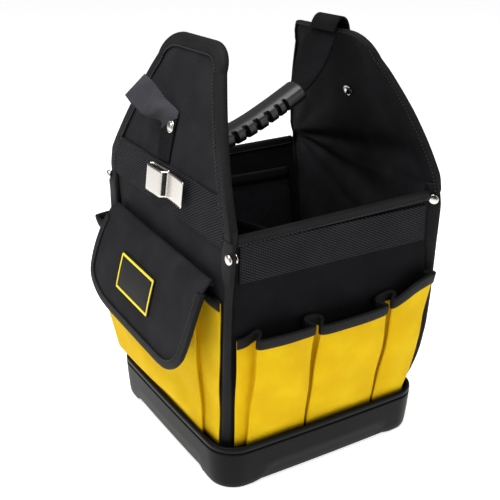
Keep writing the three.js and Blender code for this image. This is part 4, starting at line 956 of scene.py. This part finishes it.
foot_z, _, foot_far, foot_near = FLAP_HANG[-1]
foot_s = np.linspace(foot_near, foot_far, 30)[1:-1]
foot_edge = np.stack([foot_s, np.full_like(foot_s, foot_z)], -1)
FLAP_EDGE = np.concatenate([hang_rows[:, [3, 0]], foot_edge, hang_rows[::-1, [2, 0]]])
FLAP_TAPE = tape_section(FLAP_THICK / 2, FLAP_TAPE_LEG)
flap_tape = put_piece("flap_tape", edge_tape(FLAP_EDGE, FLAP_TAPE, on_flap), ribbed_tape,
                      ["left_flap_binding"])
flap_stitches = sew_edge("flap_stitches", FLAP_EDGE, FLAP_TAPE_LEG - FLAP_SEAM_INSET, on_flap,
                         FLAP_THICK / 2 + TAPE_GAP + TAPE_THICK)


# Patch on the flap: a thin moulded rubber badge with a plain black face and a raised yellow border. It is
# sewn on near the middle of the flap.
PATCH_FROM, PATCH_TO, PATCH_FOOT, PATCH_TOP = -50.0, 25.0, 168.5, 207.0
PATCH_CORNER, PATCH_LEAST_CORNER, PATCH_GAP = 3.0, 0.5, 0.2
PATCH_SEAT = FLAP_THICK / 2 + PATCH_GAP
# Columns: inset from the patch's edge, height over its seat
PATCH_PROFILE = [(0, 0), (0, 1.1), (0.4, 1.5), (1, 1.6), (17, 1.6)]
BORDER_PROFILE = [(1.2, 1.5), (1.2, 2), (1.6, 2.2), (3, 2.2), (3.4, 2), (3.4, 1.5), (1.2, 1.5)]


def patch_rings(profile):
    """Outlines on the flap for the rows of a profile."""
    half_s, half_z = (PATCH_TO - PATCH_FROM) / 2, (PATCH_TOP - PATCH_FOOT) / 2
    rings = []
    for inset, high in profile:
        corner = max(PATCH_CORNER - inset, PATCH_LEAST_CORNER)
        ring = rounded_ring(half_s - inset, half_z - inset, corner, bow=0, corner_steps=7, side_steps=14)
        s, z = ring[:, 0] + (PATCH_FROM + PATCH_TO) / 2, ring[:, 1] + (PATCH_FOOT + PATCH_TOP) / 2
        rings.append(on_flap(s, z, PATCH_SEAT + high))
    return rings


# Badge rubber: satin black. Border: the same rubber, coloured yellow through
badge_rubber = make_finish("badge_rubber", {
    "Base Color": to_linear("#0E0E10"), "Roughness": 0.6, "Specular IOR Level": 0.2,
})
border_rubber = make_finish("yellow_border_rubber", {"Base Color": to_linear("#E3CB1E"), "Roughness": 0.5})
patch = put_piece("badge", tube(patch_rings(PATCH_PROFILE)), badge_rubber, ["flap_patch"])
patch_border = put_piece("badge_border", tube(patch_rings(BORDER_PROFILE)), border_rubber)


# End band and tape clip: a band of net cloth across the left panel, with a sprung clip of nickel-plated
# spring steel riveted on it to hang a measuring tape from.
END_BAND_FOOT, END_BAND_TOP, END_BAND_DROP = 261.0, 303.0, (9, 5)
# The band's insets from the panel's far and near edge, and the places that its ends don't pass
END_BAND_INSETS, END_BAND_LIMITS = (5, 10), (-118, 116)
CLIP_Z, CLIP_HEIGHT, CLIP_METAL, CLIP_CORNER, CLIP_GAP = 287.0, 25.0, 1.0, 3.0, 0.6
# Columns: place along the side, distance out from the back of the plate
CLIP_PATH = [
    (10, 0.6), (-6, 0.6), (-21, 0.6), (-24.4, 1.8), (-26, 4.4), (-24.4, 7), (-21, 8.2), (-8, 8.5), (5, 8.5),
    (8, 7.8), (10, 5.6), (11.5, 3.6), (14, 3), (24, 3.6), (37, 4.8), (49, 6.4),
]


def end_band_ends(z):
    """Ends of the band on the left panel, inside its edges and its corners."""
    far = np.maximum(ear_place("left", -1, z) + END_BAND_INSETS[0], END_BAND_LIMITS[0])
    near = np.minimum(ear_place("left", 1, z) - END_BAND_INSETS[1], END_BAND_LIMITS[1])
    return far, near


end_band = band_cloth("left", END_BAND_FOOT, END_BAND_TOP, end_band_ends, END_BAND_DROP)
put_piece("left_net_band", end_band, net_cloth, ["end_band_left"])

clip_rows = smooth_rows(CLIP_PATH, 160)
step = unit(np.gradient(clip_rows, axis=0))
run = run_along(clip_rows)
to_end = np.clip(np.minimum(run, run[-1] - run) / CLIP_CORNER, 0, 1)
clip_half = CLIP_HEIGHT / 2 - CLIP_CORNER * (1 - np.sqrt(1 - (1 - to_end) ** 2))


def lean_slope(z, start, depth):
    """How far a panel leans in for each millimetre up."""
    return float(lean(z + 1, start, depth) - lean(z - 1, start, depth)) / 2


clip_slope = lean_slope(CLIP_Z, *LEAN_LEFT)
clip_seat = float(side_out("left", 0.0, CLIP_Z)) + BAND_GAP + BAND_THICK + CLIP_GAP
clip_faces = []
for across in (CLIP_METAL / 2, -CLIP_METAL / 2):
    rise = clip_half[:, None] * np.linspace(-1, 1, 14)[None, :]
    along = clip_rows[:, :1] + step[:, 1:] * across + 0 * rise
    out = clip_seat - clip_slope * rise + clip_rows[:, 1:] - step[:, :1] * across
    clip_faces.append(to_bag("left", along, out, CLIP_Z + rise))
put_piece("clip", sheet_mesh(*clip_faces, run[:, None], rise), nickel, ["tape_clip"])


# Snap strap and snaps: a strap of grey-black webbing, sewn flat on the left panel with a free tongue
# that twists away from it. A nickel snap holds it; its mate sits inside the right panel.
STRAP_WIDTH, STRAP_THICK = 27.0, 1.6
SEWN_NEAR, SEWN_FAR = 3.0, -23.5
# Heights of the sewn part's near and far edge, up to the slanting fold
SEWN_ROWS = [(305, 305), (320, 315), (335, 325), (348, 333.5)]
# Columns: upper edge of the tongue, lower edge
TONGUE_ROWS = [
    (-102.3, -2.6, 353, -106.6, 23.5, 338.5),
    (-104, 8.6, 358.4, -113, 23.8, 342.4),
    (-104.8, 19, 362.1, -121, 24.8, 345),
    (-105.7, 30.1, 368.8, -126, 30.5, 348.5),
    (-107.2, 41.9, 375, -128.5, 43.5, 353.8),
    (-108.4, 54.9, 379.2, -129.6, 56.2, 360.3),
]
# Columns: radius, height over the cloth
SNAP_PROFILE = [
    (0.01, 0), (6, 0), (6.2, 0.5), (6, 1.1), (5.2, 1.5), (4.6, 1.3), (4.3, 1.2), (4, 2), (3, 2.6),
    (1.5, 2.9), (0.01, 3),
]

# Webbing: thick soft yarn, greyer than the tape; the grey is partly painted light, for the strap's tongue,
# which turns up to the lamp above
webbing = woven("polypropylene_webbing", thread="#4A4A50", gap="#1C1C20",
                warp_mm=2.0, weft_mm=1.2, depth_mm=0.5, rough=0.6, gloss=0.2)

# Shaded webbing: the same yarn painted blacker; this is painted shade for the strap's sewn part, which lies
# in the shadow of the tongue, and for the handle's webbing
shaded_webbing = woven("shaded_polypropylene_webbing", thread="#1C1C1F", gap="#09090A",
                        warp_mm=2.0, weft_mm=1.2, depth_mm=0.4, rough=0.7, gloss=0.06)


def strap_cloth(middle, width, half, thick, across_count=18):
    """Closed strap along middle points, with the way and the half of its width at each; its length."""
    width = unit(width)
    normal = unit(np.cross(np.gradient(middle, axis=0), width))
    w = np.linspace(-1, 1, across_count)[None, :, None] * np.asarray(half)[:, None, None]
    flat = middle[:, None] + width[:, None] * w
    thin = thick / 2 * normal[:, None] * np.ones_like(w)
    run = run_along(middle)
    return sheet_mesh(flat + thin, flat - thin, run[:, None], w[..., 0]), run[-1]


sewn = [on_flat("left", at, np.array(SEWN_ROWS, float)[:, k], BAND_GAP + STRAP_THICK / 2)
        for k, at in enumerate((SEWN_NEAR, SEWN_FAR))]
strap_rows = smooth_rows(np.concatenate([np.column_stack(sewn), TONGUE_ROWS]), 110)
strap_across = strap_rows[:, 3:] - strap_rows[:, :3]
strap_mesh, strap_length = strap_cloth(strap_rows[:, :3] + strap_across / 2, strap_across,
                                       np.linalg.norm(strap_across, axis=1) / 2, STRAP_THICK)
strap = put_piece("snap_strap_webbing", strap_mesh, webbing, ["snap_strap"])
# The faces below the fold, on the sewn part, take the blacker copy of the yarn: painted shade from the
# tongue above
strap.data.materials.append(shaded_webbing)
for face in strap.data.polygons:
    on_panel = np.interp(-face.center.y / MM, (SEWN_FAR, SEWN_NEAR), SEWN_ROWS[-1][::-1])
    face.material_index = int(face.center.z / MM < on_panel - 1)

# Columns: name, side, place along it, height, offset from the panel, way it faces, lean of the panel
SNAPS = [
    ("snap_left", "left", -4.0, 338.0, BAND_GAP + STRAP_THICK + 0.1, 1, LEAN_LEFT),
    ("snap_right", "right", -2.0, 353.0, -PANEL_THICK - 0.6, -1, LEAN_RIGHT),
]
for name, side, along, z, offset, facing, panel_lean in SNAPS:
    axis = to_bag(side, 0.0, 1.0, lean_slope(z, *panel_lean)) * facing
    cap = turned(SNAP_PROFILE, on_flat(side, along, z, offset), axis)
    put_piece(f"{name}_cap", cap, nickel, [name])


# Handle: a moulded rubber grip over webbing that hangs slack between the two panels. On the right the
# webbing is looped over the panel's top and sewn down.
HANDLE_Y, WEB_THICK = 9.0, 2.0
# Columns: place along X, height
GRIP_PATH = [
    (41.3, 358), (24.3, 348.8), (7.4, 340), (-16.6, 328.5), (-40.6, 319.5), (-64, 313.5), (-83, 310.5),
]
# Columns: place along X, height, half width, place along Y
WEB_RIGHT = [
    (67, 421.5, 20, 1), (65.8, 416, 21.5, 2.5), (63.6, 408.5, 24, 5), (60, 399, 25.5, 7), (55, 386, 25, 8),
    (48.8, 371, 20, 9), (40, 357, 13, 9),
]
WEB_LEFT = [
    (-80, 312, 13, 9), (-90, 311.4, 15.5, 9), (-96, 314, 17, 9), (-99, 321, 18, 9), (-98.8, 335, 19, 9),
    (-92.2, 360, 19, 9), (-84.2, 385, 19, 9), (-79.6, 398, 19, 9),
]
WEB_ANCHOR = [
    (94.4, 385, 19, 1), (88.4, 400, 19, 1), (83.4, 414, 19, 1), (81, 423, 19, 1), (77.6, 428.6, 19, 1),
    (73, 430.6, 19, 1), (68.4, 429, 19.5, 0.5), (65, 425, 20, 0), (63.2, 421, 20, 0), (62, 417, 20, 0),
]
# The handle's webbings take the blacker copy of the yarn: painted shade
for name, rows, node in (
    ("right_webbing", WEB_RIGHT, "handle_webbing_right"),
    ("left_webbing", WEB_LEFT, "handle_webbing_left"),
    ("webbing_anchor", WEB_ANCHOR, "handle_anchor_right"),
):
    rows = smooth_rows(rows, 80)
    middle = rows[:, [0, 3, 1]]
    strap_mesh, strap_length = strap_cloth(middle, np.tile([0.0, 1, 0], (80, 1)), rows[:, 2], WEB_THICK)
    strap = put_piece(name, strap_mesh, shaded_webbing, [node])

GRIP_WIDTH, GRIP_HEIGHT, GRIP_STEPS, GRIP_END, GRIP_SQUARE = 31.0, 19.0, 220, 0.03, 0.8
GRIP_END_SIZE, GRIP_END_ROUND = 0.8, 0.2
RIB_COUNT, RIB_DEPTH, RIB_FROM, RIB_TO = 8, 3.6, 0.2, 0.9
# Groove beside each rib, in shares of the ribs' pitch: half its width, its place, the slope of its sides
GROOVE_HALF, GROOVE_AT, GROOVE_SLOPE = 0.2, 0.3, 0.1
# Round the grip, by the sine of the angle: where the grooves start below its top and how fast they deepen;
# where they get shallower underneath, how fast, and down to which share
GROOVE_TOP, GROOVE_TOP_RATE = 0.7, 6
GROOVE_UNDER, GROOVE_UNDER_RATE, GROOVE_LEAST = 1.1, 2, 0.4

# Grip rubber: soft moulded rubber, a little grey where the light falls along its top
grip_rubber = make_finish("grip_rubber", {"Base Color": to_linear("#121214"), "Roughness": 0.36})

grip_rows = smooth_rows(GRIP_PATH, GRIP_STEPS)
step = unit(np.gradient(grip_rows, axis=0))
share = np.linspace(0, 1, GRIP_STEPS)
to_end = np.clip(np.minimum(share, 1 - share) / GRIP_END, 0, 1)
end_round = GRIP_END_SIZE + GRIP_END_ROUND * np.sqrt(1 - (1 - to_end) ** 2)
ribs = (share - RIB_FROM) / (RIB_TO - RIB_FROM) * RIB_COUNT
groove = smooth_step((GROOVE_HALF - np.abs(ribs % 1 - GROOVE_AT)) / GROOVE_SLOPE)
groove = groove * ((share > RIB_FROM) & (share < RIB_TO))
angle = np.linspace(0, 2 * math.pi, 49)[:-1]
round_across = np.sign(np.cos(angle)) * np.abs(np.cos(angle)) ** GRIP_SQUARE
round_up = np.sign(np.sin(angle)) * np.abs(np.sin(angle)) ** GRIP_SQUARE
below = np.clip((GROOVE_TOP - np.sin(angle)) * GROOVE_TOP_RATE, 0, 1)
below = below * np.clip((GROOVE_UNDER + np.sin(angle)) * GROOVE_UNDER_RATE, GROOVE_LEAST, 1)
grip_rings = []
for (x, z), (dx, dz), size, cut in zip(grip_rows, step, end_round, groove):
    inset = 1 - cut * below * RIB_DEPTH / (GRIP_HEIGHT / 2)
    across = round_across * GRIP_WIDTH / 2 * size * inset
    high = round_up * GRIP_HEIGHT / 2 * size * inset
    grip_rings.append(np.stack([x + dz * high, HANDLE_Y + across, z - dx * high], -1))
put_piece("grip", tube(grip_rings), grip_rubber, ["handle_grip"])


# Dividers and inner pocket: thin black lining cloth, hemmed at the top, that parts the inside; and a
# flat pocket of net cloth on the inside of the rear wall with tape over its mouth.
DIVIDER_TOP, DIVIDER_LENGTH, DIVIDER_THICK, HEM, HEM_SWELL = 215.0, 238.0, 2.4, 9.0, 0.5
# The long divider's place at its middle, how far it swings to both sides, and over which length
DIVIDER_MIDDLE, DIVIDER_SWING, DIVIDER_TURN = 3.0, 30.0, 90.0
# Gaps at the ends of the long divider and of the cross divider
FRONT_GAP, REAR_GAP, CROSS_LEFT_GAP, CROSS_RIGHT_GAP = 1.0, 10.0, 0.8, 0.6
INNER_FOOT, INNER_TOP, INNER_HALF, INNER_THICK, INNER_TAPE_LEG = 30.0, 238.0, 98.0, 1.2, 11.0
# How far the inner pocket stands off the wall at its foot and at its mouth
INNER_OFFSETS = (1.6, 5.6)
# How far its sides keep from the round corners
INNER_CLEAR = 3.0

# Lining: thin and nearly black, lit only at its hems
lining_cloth = woven("black_lining_cloth", thread="#26262A", gap="#0C0C0E",
                     warp_mm=1.0, weft_mm=1.0, depth_mm=0.15, rough=0.8, gloss=0.08)


def divider_x(y):
    """Place of the long divider, which swings from the right at the front to the left at the rear."""
    return DIVIDER_MIDDLE - DIVIDER_SWING * np.tanh(y / DIVIDER_TURN)


def hem_half(z):
    """Half the thickness of a divider, thicker at the rolled hem along its top."""
    down = np.clip((DIVIDER_TOP - z) / HEM, 0, 1)
    return DIVIDER_THICK / 2 * (1 + HEM_SWELL * np.sqrt(np.clip(1 - (2 * down - 1) ** 2, 0, 1)))


below_hem = np.linspace(WALL_FOOT, DIVIDER_TOP - HEM - 1, 24)
z = np.append(below_hem, np.linspace(DIVIDER_TOP - HEM - 0.5, DIVIDER_TOP, 18))[:, None]
to_wall = body_size(BODY_Y, z) - WALL_THICK
y = between(-(to_wall - FRONT_GAP), to_wall - REAR_GAP, np.linspace(0, 1, 70)[None, :])
divider_faces = [np.stack([divider_x(y) + sign * hem_half(z), y, z + 0 * y], -1) for sign in (1, -1)]
divider = put_piece("long_divider_cloth", sheet_mesh(*divider_faces, y, z), lining_cloth,
                    ["divider_long"])

cross_left = -(BODY_X[0] - PANEL_THICK - CROSS_LEFT_GAP)
cross_right = float(divider_x(0)) - DIVIDER_THICK / 2 - CROSS_RIGHT_GAP
x = np.linspace(cross_left, cross_right, 40)[None, :]
divider_faces = [np.stack([x + 0 * z, sign * hem_half(z) + 0 * x, z + 0 * x], -1) for sign in (1, -1)]
divider = put_piece("cross_divider_cloth", sheet_mesh(*divider_faces, x, z), lining_cloth,
                    ["divider_cross"])


def on_inner(s, z, across):
    """Point on the inner pocket, which stands off the rear wall towards its mouth."""
    share = np.clip((z - INNER_FOOT) / (INNER_TOP - INNER_FOOT), 0, 1)
    return on_flat("rear", s, z, across - WALL_THICK - between(*INNER_OFFSETS, share))


z = np.linspace(INNER_FOOT, INNER_TOP, 50)[:, None]
inner_half = np.minimum(INNER_HALF, body_size(BODY_X, z) - body_size(BODY_CORNER, z) - INNER_CLEAR)
s = np.linspace(-1, 1, 60)[None, :] * inner_half
inner_cloth = sheet_mesh(on_inner(s, z, INNER_THICK / 2), on_inner(s, z, -INNER_THICK / 2), s, z)
inner_pocket = put_piece("inner_pocket_cloth", inner_cloth, net_cloth, ["inner_pocket_rear"])
inner_edge = np.stack([np.linspace(-INNER_HALF, INNER_HALF, 40), np.full(40, INNER_TOP)], -1)
inner_tape = edge_tape(inner_edge, tape_section(INNER_THICK / 2, INNER_TAPE_LEG), on_inner)
inner_tape = put_piece("inner_pocket_tape", inner_tape, ribbed_tape,
                       ["inner_pocket_rear_binding"])
